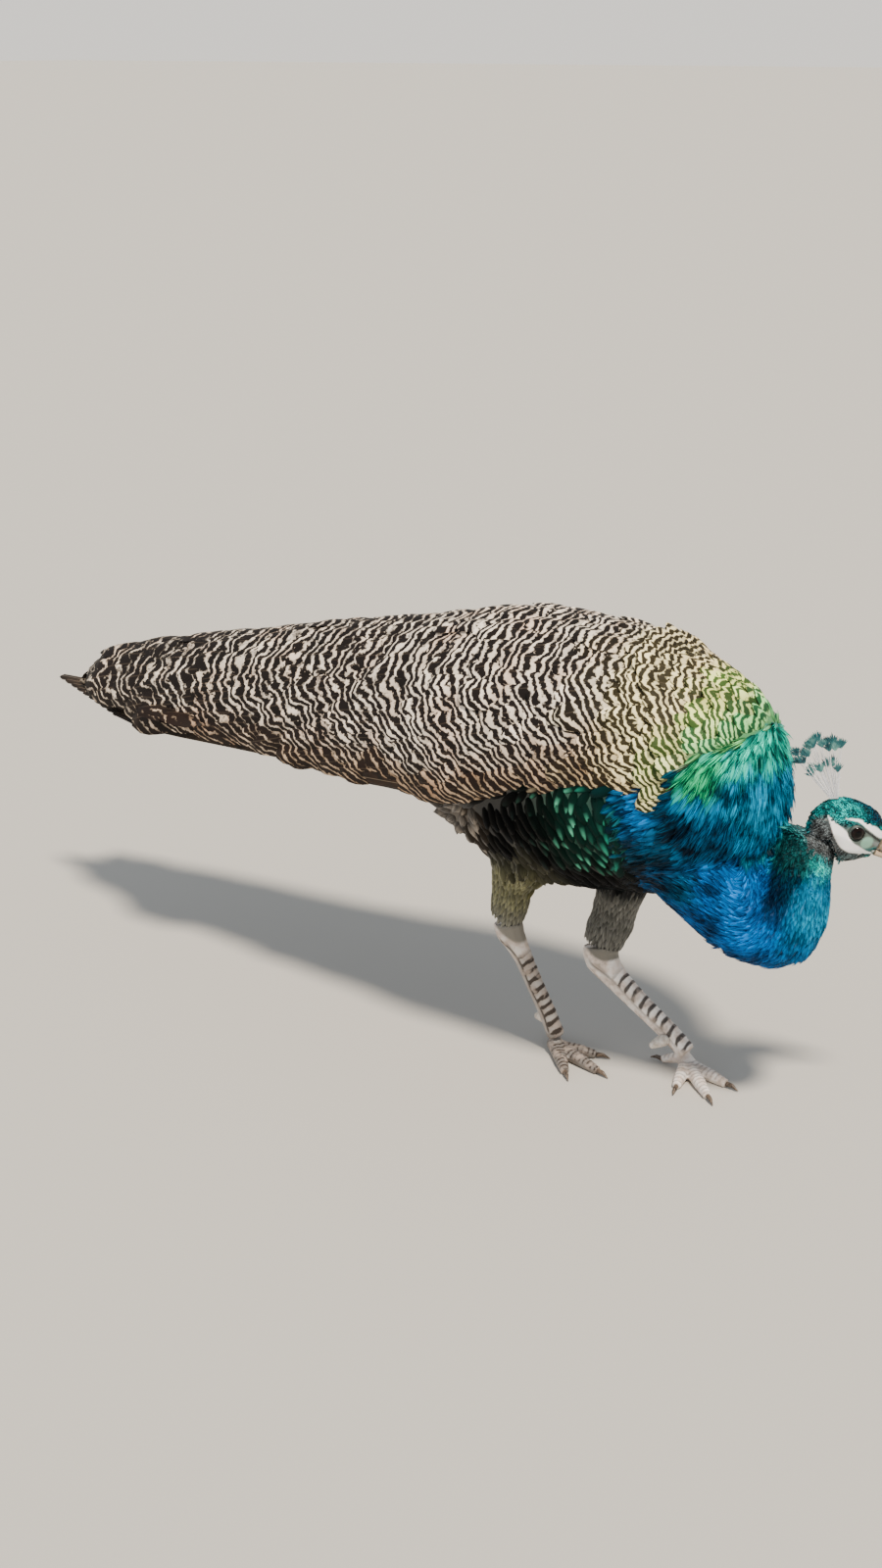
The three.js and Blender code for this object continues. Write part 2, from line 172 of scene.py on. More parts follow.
floor_mesh = bpy.data.meshes.new("floor")
FLOOR_HALF = 60.0
floor_mesh.from_pydata(
    [(x * FLOOR_HALF, y * FLOOR_HALF, 0) for x, y in ((-1, -1), (1, -1), (1, 1), (-1, 1))],
    [],
    [(0, 1, 2, 3)],
)
floor = bpy.data.objects.new("floor", floor_mesh)
scene.collection.objects.link(floor)
# Matt card: an even pale ground that takes a soft shadow and shows no shine.
paper, tree, shader = finish_of("matt backdrop paper", 0.9, Base_Color=linear("#bab7b1"))
floor_mesh.materials.append(paper)

# %% [markdown]
# ## The skin
# Under the coat a bird has one skin from bill to tail. The solids that stand for flesh are copied,
# welded and wrapped in one closed surface by a voxel remesh, which also closes the thin gaps
# between them. The head needs a finer mesh for its lids, so it is wrapped on its own and joined by
# a boolean. Then the surface is drawn in by the depth of the coat at each place.

# %% Wrap the solids
BODY_VOXEL = 4.0
HEAD_VOXEL = 1.15


def welded(nodes, hull=False):
    """A bmesh of some solids as one, or the convex hull of their points."""
    bm = bmesh.new()
    for node in nodes:
        bm.from_mesh(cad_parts[node].data)
    bmesh.ops.remove_doubles(bm, verts=bm.verts, dist=1e-6)
    if hull:
        points = [v.co.copy() for v in bm.verts]
        bm.clear()
        for p in points:
            bm.verts.new(p)
        out = bmesh.ops.convex_hull(bm, input=bm.verts)
        bmesh.ops.delete(bm, geom=list(set(out["geom_interior"] + out["geom_unused"])), context="VERTS")
    return bm


def link(name, mesh):
    obj = bpy.data.objects.new(name, mesh)
    scene.collection.objects.link(obj)
    return obj


def new_mesh(name, points, faces):
    """A smooth-shaded mesh."""
    mesh = bpy.data.meshes.new(name)
    mesh.from_pydata([tuple(p) for p in points], [], faces)
    for poly in mesh.polygons:
        poly.use_smooth = True
    return mesh


def settle(obj):
    """Turns an object's modifiers into a plain mesh and takes them off."""
    depsgraph = bpy.context.evaluated_depsgraph_get()
    mesh = bpy.data.meshes.new_from_object(
        obj.evaluated_get(depsgraph), preserve_all_data_layers=True, depsgraph=depsgraph
    )
    obj.modifiers.clear()
    obj.data = mesh
    return obj


def wrapped(name, bmeshes, voxel):
    """One closed surface round some welded solids."""
    whole = bmesh.new()
    for bm in bmeshes:
        part = bpy.data.meshes.new(name)
        bm.to_mesh(part)
        bm.free()
        whole.from_mesh(part)
    mesh = bpy.data.meshes.new(name)
    whole.to_mesh(mesh)
    whole.free()
    obj = link(name, mesh)
    remesh = obj.modifiers.new("wrap", "REMESH")
    remesh.mode = "VOXEL"
    remesh.voxel_size = voxel * MM
    return settle(obj)


FLESH = ["trunk", "wing_left", "wing_right", "neck_base", "neck_bend", "neck_upper"]
FLESH += ["thigh_left", "thigh_right"]
skin = wrapped("skin", [welded(FLESH), welded(["tail_coverts"], hull=True)], BODY_VOXEL)
head_skin = wrapped("head_skin", [welded(["head"])], HEAD_VOXEL)
print("body", len(skin.data.polygons), "head", len(head_skin.data.polygons), "faces")

# %% Join the head to the neck
join = skin.modifiers.new("head", "BOOLEAN")
join.operation = "UNION"
join.solver = "MANIFOLD"
join.object = head_skin
settle(skin)
bpy.data.objects.remove(head_skin)
print("joined skin", len(skin.data.vertices), "points")

# %% [markdown]
# ## Where each part of the skin is
# Depth, lie of the feathers and colour change from part to part, without a hard border. So each
# point of the skin gets a share of every part that is near it, from its distance to that solid.
# The neck and the head also have coordinates of their own: the way along the neck's curved axis,
# and forward, left and up in the turned head.

# %% Shares of the parts
PARTS = {
    "head": ["head"],
    "neck": ["neck_base", "neck_bend", "neck_upper"],
    "trunk": ["trunk"],
    "wing": ["wing_left", "wing_right"],
    "tail": ["tail_coverts"],
    "thigh_left": ["thigh_left"],
    "thigh_right": ["thigh_right"],
}
BORDER = 5.0  # mm over which one part's coat turns into the next


def read(mesh):
    """Points, unit normals and edges of a mesh as arrays."""
    n = len(mesh.vertices)
    co = np.empty(n * 3)
    no = np.empty(n * 3)
    edges = np.empty(len(mesh.edges) * 2, int)
    mesh.vertices.foreach_get("co", co)
    mesh.vertices.foreach_get("normal", no)
    mesh.edges.foreach_get("vertices", edges)
    return co.reshape(-1, 3), no.reshape(-1, 3), edges.reshape(-1, 2)


def spread(values, edges, rounds):
    """Averages a value over neighbouring points, some times over."""
    values = np.array(values, float)
    flat = values.reshape(len(values), -1)
    count = np.bincount(edges.ravel(), minlength=len(flat))[:, None].clip(1)
    for _ in range(rounds):
        total = np.zeros_like(flat)
        np.add.at(total, edges[:, 0], flat[edges[:, 1]])
        np.add.at(total, edges[:, 1], flat[edges[:, 0]])
        flat = 0.5 * flat + 0.5 * total / count
    return flat.reshape(values.shape)


def unit(vectors):
    return vectors / np.linalg.norm(vectors, axis=-1, keepdims=True).clip(1e-9)


def write(mesh, co):
    mesh.vertices.foreach_set("co", np.asarray(co, np.float32).ravel())
    mesh.update()


co, no, edges = read(skin.data)
co = spread(co, edges, 2)
write(skin.data, co)
co, no, edges = read(skin.data)
distance = {}
for part, nodes in PARTS.items():
    bm = welded(nodes)
    near = BVHTree.FromBMesh(bm)
    distance[part] = np.array([near.find_nearest(Vector(p))[3] for p in co]) / MM
    bm.free()
nearest = np.min(list(distance.values()), axis=0)
share = {part: np.exp(-(((d - nearest) / BORDER) ** 2)) for part, d in distance.items()}
total = sum(share.values())
share = {part: s / total for part, s in share.items()}
share["thigh"] = share["thigh_left"] + share["thigh_right"]
print({part: int((s > 0.5).sum()) for part, s in share.items()})

# %% The head's frame and the neck's axis
HEAD_TURN = math.radians(35)
HEAD_DROP = math.radians(26)
FORWARD = np.array(
    [
        math.cos(HEAD_TURN) * math.cos(HEAD_DROP),
        math.sin(HEAD_TURN) * math.cos(HEAD_DROP),
        -math.sin(HEAD_DROP),
    ]
)
LEFTWARD = np.array([-math.sin(HEAD_TURN), math.cos(HEAD_TURN), 0.0])
UPWARD = np.cross(FORWARD, LEFTWARD)
HEAD_AXES = np.array([FORWARD, LEFTWARD, UPWARD])
NECK_AXIS = [  # from the shoulders down to the bend and up to the head
    (62, 0, 262),
    (94, 0, 225),
    (121, -1, 194),
    (144, -2, 181),
    (163, -3, 186),
    (172, -2, 209),
    (174, 1, 234),
    (176, 5, 257),
    (179, 9, 276),
]


def in_head(points):
    """Bird millimetres to forward, left and up from the point between the eyes."""
    return (np.asarray(points) - EYE_POINT) @ HEAD_AXES.T


def out_of_head(points):
    return np.asarray(points, float) @ HEAD_AXES + EYE_POINT


def curve(rows, steps):
    """A smooth line through some points, by Catmull-Rom."""
    rows = np.array(rows, float)
    ends = np.vstack([2 * rows[0] - rows[1], rows, 2 * rows[-1] - rows[-2]])
    out = []
    for a, b, c, d in zip(ends, ends[1:], ends[2:], ends[3:]):
        for t in np.arange(steps) / steps:
            out.append(b + 0.5 * t * (c - a + t * (2 * a - 5 * b + 4 * c - d + t * (3 * (b - c) + d - a))))
    return np.array(out + [rows[-1]])


neck_line = curve(NECK_AXIS, 6)
neck_tangent = unit(np.gradient(neck_line, axis=0))


def fields(co, no):
    """Bird millimetres, head coordinates, place along the neck and its direction there."""
    p = (co - WALK) / MM
    gap = np.linalg.norm(p[:, None] - neck_line[None], axis=2)
    k = gap.argmin(axis=1)
    return p, in_head(p), k / (len(neck_line) - 1), neck_tangent[k]


P, H, along, tangent = fields(co, no)
head_points = H[share["head"] > 0.5]
print("neck points", len(neck_line))
print("head spans", head_points.min(0).round(), head_points.max(0).round())

# %% Draw the skin in under the coat
DEPTH = {"head": 1.5, "neck": 3.6, "trunk": 6.5, "wing": 6.5, "tail": 6.0, "thigh": 3.6}
depth = sum(share[part] * mm for part, mm in DEPTH.items())
hump_front = share["trunk"] * smooth(P[:, 0], 118, 146)
depth -= hump_front * (0.5 + 4 * np.exp(-(((P[:, 2] - 276) / 36) ** 2)))
depth -= 2 * share["neck"] * smooth(-H[:, 0], 22, 34)
depth -= 3.5 * share["thigh_left"] * smooth(-P[:, 2], -140, -118)
depth -= 3.5 * share["thigh_right"] * smooth(-P[:, 2], -174, -154)
depth = spread(depth, edges, 6)
co = co - no * depth[:, None] * MM
TAIL_SOLE = 277.0  # above this the tail's skin, below it the long tail feathers
under_tail = smooth(-P[:, 0], 205, 290)
low = np.maximum(TAIL_SOLE - (co[:, 2] - WALK[2]) / MM, 0) * under_tail
co[:, 2] += low * MM
body_only = (share["head"] < 0.3)[:, None]
co = np.where(body_only, spread(co, edges, 3), spread(co, edges, 1))
write(skin.data, co)
co, no, edges = read(skin.data)
P, H, along, tangent = fields(co, no)
print("skin box", P.min(0).round(), P.max(0).round())

# %% [markdown]
# ## How the feathers lie
# Feathers start at the bill and run back over the head, down the neck and round its bend. On the
# body they spread from the root of the neck in all directions: up over the shoulders, along the
# sides, down the breast. So the body's flow is simply "away from a point in front of the breast",
# pressed flat onto the skin, with a little weight downwards where the hackles are long.

# %% The lie of the coat
BREAST_POINT = np.array([166.0, 0.0, 338.0])  # the bars run in rings round this point
WING_EDGE = [(-640, 255), (-332, 264), (-240, 268), (-180, 274), (-115, 276), (-80, 290)]
WING_EDGE += [(-45, 305), (-10, 318), (45, 320), (70, 320), (75, 311), (83, 311)]
WING_EDGE += [(92, 345), (102, 364), (140, 367), (160, 371)]


def over_wing_edge(points):
    """Height in mm over the line where the barred feathers end."""
    lowest = np.interp(points[:, 0], *zip(*WING_EDGE))
    return points[:, 2] - lowest + 0.2 * np.abs(points[:, 1]) * smooth(points[:, 0], 90, 100)


PARTING = np.array([152.0, 40.0, 352.0])  # feathers run away from here, beside the neck's root
spokes = P - PARTING
hanging = smooth(P[:, 0], 88, 106) * smooth(-over_wing_edge(P), -4, 8) * smooth(P[:, 2], 236, 282)
hanging = hanging[:, None]
down_front = np.column_stack([np.full(len(P), -0.38), 0.25 * np.tanh(P[:, 1] / 20), np.full(len(P), -1.0)])
body_flow = (1 - hanging) * (unit(spokes) + np.array([-0.25, 0, -0.12])) + hanging * down_front
under_wing = smooth(-over_wing_edge(P), 2, 12) * smooth(-P[:, 0], -56, -30)
under_wing = under_wing * smooth(P[:, 0], -150, -105)
body_flow = body_flow + under_wing[:, None] * (np.array([0.42, 0, -0.95]) - body_flow)
head_flow = np.array([-1.0, 0, -0.18]) @ HEAD_AXES
neck_flow = -tangent + np.array([0, 0, -0.25])
thigh_flow = {
    "thigh_left": unit(np.array([-44.0, 37, 103]) - np.array([-12.0, 52, 236])),
    "thigh_right": unit(np.array([-104.0, -35, 139]) - np.array([-64.0, -44, 240])),
}
lie = (
    share["head"][:, None] * head_flow
    + share["neck"][:, None] * neck_flow
    + (share["trunk"] + share["wing"] + share["tail"])[:, None] * body_flow
    + sum(share[side][:, None] * flow for side, flow in thigh_flow.items())
)
lie = spread(lie, edges, 12)
lie = unit(lie - (lie * no).sum(1, keepdims=True) * no)
print("lie on the back", lie[P[:, 2] > 425].mean(0).round(2))

# %% [markdown]
# ## The colours of the coat
# Each feather has a dark ground and a bright part: cream bars on brown over the back and wings,
# gold and green on the shoulders, turquoise and blue on breast and neck, emerald tips on black
# flanks. Both colours are laid out on the skin with a few soft zones, named by where they are on
# a bird, and the feathers pick theirs up at the root.

# %% Ground and bright colours
x, y, z = P.T
forward, left, up = H.T
over_edge = smooth(over_wing_edge(P), -0.5, 0.5)
body = share["trunk"] + share["wing"] + share["tail"]
front = (1 - over_edge) * smooth(x, 38, 56)
ground = np.tile(linear("#120a06")[:3], (len(P), 1))
bright = np.tile(linear("#f4e6d4")[:3], (len(P), 1))


def lay(colour_map, hex_colour, weight):
    """Mixes a colour in by a weight from 0 to 1."""
    weight = np.clip(weight, 0, 1)[:, None]
    colour_map[:] = colour_map * (1 - weight) + np.array(linear(hex_colour)[:3]) * weight


def zone(hex_ground, hex_bright, weight):
    lay(ground, hex_ground, weight)
    lay(bright, hex_bright, weight)


def ring(value, centre, width):
    return np.exp(-(((value - centre) / width) ** 2))


below = 1 - over_edge
margin = over_wing_edge(P)
low_wing = over_edge * smooth(-margin, -46, -6) * smooth(-x, -60, -20)
zone("#1c0d05", "#c2a07a", 0.85 * low_wing)
zone("#15100a", "#a3977f", share["tail"] * smooth(-margin, -16, -2) * smooth(-x, 240, 300))
zone("#120a06", "#e6d6c0", 0.6 * share["tail"] * smooth(-x, 420, 560))
zone("#2e2810", "#fdf0b4", 0.9 * smooth(x, -10, 60) * over_edge)
zone("#3a5a22", "#e6f88c", 0.85 * over_edge * ring(margin, 30, 26) * smooth(x, 66, 96))
zone("#0b5a34", "#8cf09a", 0.95 * over_edge * ring(margin, 2, 12) * smooth(x, 88, 104))
zone("#010203", "#0c1014", below)
zone("#06261f", "#62c4a0", below * ring(x, -4, 27) * smooth(z, 232, 252))
zone("#082e29", "#1c8c74", below * ring(x, 30, 22) * smooth(z, 236, 262))
zone("#04283a", "#0c5c80", below * smooth(x, 44, 60) * smooth(z, 236, 262))
blue_patch = ring(np.hypot((x - 66) / 20, (z - 302) / 28), 0, 0.9)
zone("#04305c", "#1288e0", 0.9 * below * blue_patch)
zone("#020d18", "#0a4464", below * smooth(x, 78, 90) * smooth(-z, -326, -304))
zone("#010810", "#072c42", below * smooth(x, 40, 64) * smooth(-z, -262, -242))
zone("#2c2620", "#8a8074", below * smooth(-x, 98, 114))
front_face = below * smooth(x, 92, 100)
zone("#023a54", "#008cc4", front_face)
zone("#023850", "#00a8d8", front_face * smooth(x, 120, 132) * ring(z, 318, 26))
zone("#044e48", "#1ce4c8", front_face * smooth(z, 334, 350))
zone("#03382a", "#2cdc98", front_face * smooth(-x, -128, -114) * smooth(z, 318, 332))
zone("#02182a", "#0a6494", front_face * smooth(-x, -140, -128) * smooth(-z, -316, -304))
zone("#010304", "#0a0f12", below * smooth(-z, -226, -206) * (1 - smooth(x, 70, 110)))
zone("#011b30", "#0068bc", share["neck"])
zone("#02121f", "#0b5478", share["neck"] * smooth(-x, -114, -98) * smooth(z, 190, 210))
# Painted shade: the neck is darker where its skin faces down.
zone("#02162a", "#065a9c", 0.8 * share["neck"] * smooth(-no[:, 2], 0.3, 0.75))
zone("#00648e", "#00acd8", share["neck"] * ring(along, 0.68, 0.13) * smooth(x, 160, 174))
# Painted light: a brighter blue on the lobe at the bottom of the neck's bend.
neck_bend_painted_light = ring(np.hypot((x - 147) / 20, (z - 214) / 34), 0, 1.1)
zone("#034c8c", "#0084e0", (share["neck"] + front_face) * neck_bend_painted_light)
zone("#087078", "#34fcf0", share["neck"] * smooth(along, 0.76, 0.86))
# Painted shade: the back of the rising neck, under the head, is near black.
nape = smooth(-forward, 14, 30) * smooth(along, 0.45, 0.7) * smooth(x, 148, 158)
zone("#010406", "#082a38", 0.9 * share["neck"] * nape)
zone("#565650", "#7a7973", share["thigh"])
zone("#525138", "#7f7d57", share["thigh_right"] * smooth(z, 130, 180))
thigh_tops = share["thigh_left"] * smooth(z, 155, 165) + share["thigh_right"] * smooth(z, 203, 212)
zone("#010304", "#0b1012", thigh_tops)
zone("#03242c", "#08aca8", share["head"])
print("coloured", len(P), "points of skin")

# %% [markdown]
# ## Bare skin and dark feathers of the face
# A peafowl's face has two bare white patches: a broad crescent under the eye and a stripe above it
# that widens towards the bill. Between them run a dark line to the eye and grey skin round it, and
# the ear is covered with small dark scales. The patches are drawn as distances to short lines in
# the head's own frame, alike on both sides.

# %% Face zones
CRESCENT = [(-27.8, 1.8, 0.6), (-24, -0.3, 1.8), (-19.8, -2.7, 3.2), (-15.5, -5.2, 4.6), (-11.2, -7.6, 5.6)]
CRESCENT += [(-7.4, -10.4, 5.6), (-3.3, -12.8, 5.3), (2.8, -14.2, 4.7), (7.6, -14, 3.9), (12.9, -14.2, 2.8)]
CRESCENT += [(19.1, -14.2, 1.6), (24, -13.6, 0.9)]
BROW = [(-14, 7.4, 0.4), (-9, 8.6, 0.9), (-3.5, 10, 1.2), (1.5, 9.8, 1.6), (7, 8.9, 2.3), (13.5, 7.7, 2.8)]
BROW += [(20.5, 5.6, 2.8), (27, 4.2, 2.3)]
GREY_BAND = [(20, -3.4, 1.4), (27.4, -4.4, 2.6)]
LORE = [(4.5, 5.4, 0.6), (7.7, 4.4, 0.9), (15.2, 2.4, 1.1), (24.6, -0.2, 1.1)]
GAPE = [(24, -10.8, 0.7), (27.5, -11.4, 1.8)]


def near_line(rows):
    """How far inside a short line of given half widths a point on the side of the head is, in mm."""
    line = curve(rows, 6)
    far = np.linalg.norm(H[:, None, [0, 2]] - line[None, :, :2], axis=2)
    return (line[None, :, 2] - far).max(axis=1)


side = smooth(np.abs(left) + 0.14 * np.maximum(forward, 0), 5, 9)


def on_face(rows, soft):
    """A line's mark on both sides of the head, with an edge some mm soft."""
    return smooth(near_line(rows), -soft, soft) * side * share["head"]


def spot_on_face(distance, outer, inner):
    """A round mark on both sides of the head, from the distance to its middle."""
    return smooth(-distance, -outer, -inner) * side * share["head"]


white = np.maximum(on_face(CRESCENT, 0.4), on_face(BROW, 0.4))
pink = on_face(GAPE, 0.5)
grey_skin = spot_on_face(np.hypot((forward - 8) / 1.75, (up + 2.2) / 0.92), 11.2, 9.6)
head_end = np.clip(share["head"] + share["neck"] * smooth(-forward, -40, -36) * smooth(up, -36, -28), 0, 1)
cheek = smooth(-np.hypot((forward + 17) / 1.2, up + 15), -20, -16) * side * head_end
chin = smooth(-up, 15, 19) * share["head"]
zone("#101214", "#7b8488", np.maximum(cheek, 0.9 * chin))
crown_glow = np.exp(-(((forward + 17) / 11) ** 2) - ((up - 11) / 9) ** 2)
zone("#02303a", "#10d8d4", share["head"] * crown_glow)
zone("#01080f", "#0d4a66", share["head"] * smooth(forward, -6, 12) * smooth(up, 9, 15))
zone("#010a14", "#0c5578", 0.8 * share["head"] * smooth(up, 18, 22))
zone("#39443f", "#57645f", grey_skin)
zone("#6c9a87", "#86b3a0", spot_on_face(np.hypot((forward - 13.5) / 1.1, up + 4.9), 6.4, 4.6))
zone("#62696a", "#767d7c", on_face(GREY_BAND, 0.6))
zone("#0a0f10", "#0d1213", on_face(LORE, 0.4))
zone("#dccfc8", "#efe4dd", pink)
zone("#f2f1ec", "#ffffff", white)
bare = np.maximum(np.maximum(white, grey_skin), pink)
print("bare face points", int((bare > 0.5).sum()))

# %% [markdown]
# ## Feather tracts
# Feathers don't grow evenly. They stand in tracts, each with feathers of one kind and size. A
# tract is a number from 0 to 1 on the skin, the chance that a feather stands there.

# %% Tracts
top = smooth(margin, 1.5, 3.5) * body * smooth(no[:, 2], -0.55, -0.25)
under = smooth(5 * smooth(x, 70, 90) - margin, 0.5, 2.5) * body
hackles = under * front * smooth(x, 96, 104) * smooth(z, 262, 280)
curled = share["neck"] * smooth(along, 0.7, 0.84) + share["head"] * smooth(-forward, 30, 34)
hock_slant = z + 0.5 * x  # the thigh feathers end on a slant above the hock
tract = {
    "shoulder": top * smooth(x, -24, -8),
    "wing": top * smooth(-x, -22, -4) * smooth(x, -246, -228),
    "tail": top * smooth(-x, 206, 226),
    "hackles": hackles,
    "breast": under * front * (1 - hackles),
    "flank": under * (1 - smooth(x, 52, 66)) * smooth(z, 200, 212) * smooth(x, -122, -108),
    "belly": under * (1 - smooth(x, 60, 80)) * (1 - smooth(z, 205, 218)) * smooth(x, -122, -108),
    "vent": under * smooth(-x, 98, 108) * smooth(x, -154, -146),
    "nape": share["neck"]
    * smooth(along, 0.6, 0.72)
    * (1 - smooth(along, 0.8, 0.88))
    * smooth(-forward, 22, 30),
    "neck": share["neck"] * (1 - smooth(along, 0.7, 0.84)) * (1 - smooth(share["head"], 0.02, 0.1)),
    "throat": curled * (1 - cheek),
    "thigh": share["thigh_left"] * smooth(hock_slant, 79, 86)
    + share["thigh_right"] * smooth(hock_slant, 89, 96),
    "crown": share["head"] * (1 - cheek) * (1 - chin),
    "cheek": np.maximum(cheek, share["head"] * chin),
}
near_bare = spread(bare, edges, 2)
for name in ("crown", "cheek", "throat"):
    tract[name] = tract[name] * (near_bare < 0.04)
print("lower thigh", P[share["thigh"] > 0.5].min(0).round())
grow = np.ones(len(P))
grow *= 1 - 0.35 * share["neck"] * smooth(along, 0.3, 0.7)
grow *= 1 + 0.35 * smooth(-x, 250, 500) * share["tail"] - 0.3 * smooth(-x, 540, 640) * share["tail"]


def paint(mesh, name, kind, values, domain="POINT"):
    """Stores an attribute on the points or on the faces."""
    layer = mesh.attributes.new(name, kind, domain)
    field = {"FLOAT": "value", "FLOAT_VECTOR": "vector", "FLOAT_COLOR": "color"}[kind]
    values = np.asarray(values, np.float32)
    if kind == "FLOAT_COLOR":
        values = np.hstack([values, np.ones((len(values), 1), np.float32)])
    layer.data.foreach_set(field, values.ravel())


# dusk is how much of the bright bars is lost, mostly towards the tail, and as painted shade on the top of the
# back
corner_of = np.array([poly.vertices[0] for poly in skin.data.polygons])
dusk = 0.9 * low_wing + 0.5 * share["tail"] * smooth(-margin, -14, -2)
along_back = 0.8 * smooth(-x, 120, 260) + 0.8 * smooth(-x, 380, 520)
dusk += along_back + 0.4 * smooth(no[:, 2], 0.75, 0.95) * smooth(-x, 0, 80)
dusk -= 0.55 * over_edge * smooth(x, 50, 90)
paint(skin.data, "lie", "FLOAT_VECTOR", lie)
paint(skin.data, "grow", "FLOAT", grow)
paint(skin.data, "ground", "FLOAT_COLOR", ground[corner_of], "FACE")
paint(skin.data, "bright", "FLOAT_COLOR", bright[corner_of], "FACE")
paint(skin.data, "dusk", "FLOAT", dusk)
paint(skin.data, "under_coat", "FLOAT_COLOR", ground)
paint(skin.data, "bare_colour", "FLOAT_COLOR", bright)
paint(skin.data, "bare", "FLOAT", bare)
for name, weight in tract.items():
    paint(skin.data, "tract_" + name, "FLOAT", np.clip(weight * 2.2, 0, 1))
print({name: int((w > 0.5).sum()) for name, w in tract.items()})

# %% [markdown]
# ## A flat map of the skin
# Baking needs every bit of the coat to know where on the skin it belongs. The skin is unwrapped by
# its own shape, and each feather later becomes a tiny patch at its root's place on that map.

# %% Unwrap
bpy.context.view_layer.objects.active = skin
skin.select_set(True)
skin.data.uv_layers.new(name="OFBake")
bpy.ops.object.mode_set(mode="EDIT")
bpy.ops.mesh.select_all(action="SELECT")
bpy.ops.uv.smart_project(angle_limit=math.radians(66), island_margin=0.004)
bpy.ops.object.mode_set(mode="OBJECT")
print("unwrapped", len(skin.data.loops), "corners")

# %% [markdown]
# ## One feather
# A feather is a thin closed blade: narrow at the root, broad, round or pointed at the tip, arched
# across and bent down towards the tip. Six faces round and a few rows long are enough for a shape
# that is laid thousands of times. Its own map runs across (u) and along (v) the vane.

# %% Feather blanks
ROOT_SHARE = 0.12  # how much of the feather is set back behind its point on the skin


def vane_mesh(name, points, maps, faces):
    """A mesh whose points carry their place across and along the vane."""
    mesh = new_mesh(name, points, faces)
    uv = mesh.uv_layers.new(name="vane")
    for loop in mesh.loops:
        uv.data[loop.index].uv = maps[loop.vertex_index]
    return mesh


def blank(name, rows, width, camber, bow, fray=0.0, seed=3):
    """A feather 1 long and 1 wide at most. width gives its breadth at each share of the length."""
    rng = np.random.default_rng(seed)
    across = np.array([-1, -0.55, 0, 0.55, 1])
    jag = rng.uniform(-1, 0.4, 5) * fray
    points, maps, faces = [], [], []
    for v in np.linspace(0, 1, rows):
        half = 0.5 * width(v) * (1 - fray * rng.uniform(0, 0.5))
        arch = 4 * bow * v * (1 - v) - 0.6 * bow * v**2
        for k, u in enumerate(across):
            reach_v = v - ROOT_SHARE + jag[k] * max(v - 0.4, 0)
            points.append((half * u, reach_v, arch - camber * (half * u) ** 2))
            maps.append((0.5 + 0.5 * u, v))
        points.append((0, v - ROOT_SHARE, arch - 0.03))
        maps.append((0.5, v))
    for r in range(rows - 1):
        a, b = 6 * r, 6 * (r + 1)
        for k in range(4):
            faces.append((a + k, a + k + 1, b + k + 1, b + k))
        faces.append((a + 5, a, b, b + 5))
        faces.append((a + 4, a + 5, b + 5, b + 4))
    faces.append((5, 4, 3, 2, 1, 0))
    last = 6 * (rows - 1)
    faces.append(tuple(last + k for k in range(6)))
    mesh = vane_mesh(name, points, maps, faces)
    rim = mesh.attributes.new("sharp_edge", "BOOLEAN", "EDGE")
    for e in mesh.edges:
        a, b = (i % 6 for i in e.vertices)
        rim.data[e.index].value = a == b and a in (0, 4)
    return link(name, mesh)


def rounded(v):
    return min(1.0, 0.35 + 2.2 * v) * math.sqrt(max(1 - max((v - 0.5) / 0.53, 0) ** 2.2, 0))


def pointed(v):
    return 0.2 + 0.8 * math.sin(math.pi * min(v, 1) ** 0.8) if v < 0.98 else 0.08


def plume(name, strands, seed):
    """A loose feather of separate tapering strands, each with three sides."""
    rng = np.random.default_rng(seed)
    points, maps, faces = [], [], []
    for s in range(strands):
        fan = 2 * s / (strands - 1) - 1
        reach_v = 1 - 0.22 * abs(fan) - rng.uniform(0, 0.18)
        sway = rng.uniform(-0.12, 0.12)
        for r, v in enumerate((0.0, 0.3, 0.65, 1.0)):
            middle_x = 0.40 * fan * (0.45 + 0.55 * v) + sway * v * v
            middle_z = 0.16 * v * (1 - v) - 0.03 * v - 0.05 * fan * fan
            half = 0.5 * (0.17, 0.22, 0.15, 0.02)[r]
            for dx, dz in ((-1, 0), (1, 0), (0, 0.35)):
                points.append((middle_x + half * dx, reach_v * v - ROOT_SHARE, middle_z + half * dz))
                maps.append((0.5 + 0.5 * fan + 0.08 * dx, v))
        first = 12 * s
        for r in range(3):
            a, b = first + 3 * r, first + 3 * r + 3
            faces += [(a + k, a + (k + 1) % 3, b + (k + 1) % 3, b + k) for k in range(3)]
        faces += [(first + 2, first + 1, first), (first + 9, first + 10, first + 11)]
    return link(name, vane_mesh(name, points, maps, faces))


contour = blank("contour_blank", 7, rounded, 0.5, 0.07)
hackle = blank("hackle_blank", 6, pointed, 0.7, 0.08, fray=0.12)
ragged = blank("ragged_blank", 6, pointed, 0.4, 0.1, fray=0.35)
scale_blank = blank("scale_blank", 4, rounded, 0.6, 0.06)
loose = plume("loose_blank", 5, 4)
print("contour feather", len(contour.data.polygons), "faces")

# %% [markdown]
# ## Laying the feathers
# A Geometry Nodes tree does the laying: it scatters points on one tract, at least a spacing apart,
# stands a feather on each, turns it along the lie, lifts its tip a little, and varies its size and
# turn. The tree ends in real mesh with one material.

# %% The laying tree
FEATHER_INPUTS = [
    ("Skin", "NodeSocketGeometry"),
    ("Tract", "NodeSocketString"),
    ("Blank", "NodeSocketObject"),
    ("Finish", "NodeSocketMaterial"),
    ("Spacing", "NodeSocketFloat"),
    ("Length", "NodeSocketFloat"),
    ("Width", "NodeSocketFloat"),
    ("Lift", "NodeSocketFloat"),
    ("Scatter", "NodeSocketFloat"),
    ("Seed", "NodeSocketInt"),
]
PATCH = 0.003  # the size of one feather on the skin's map


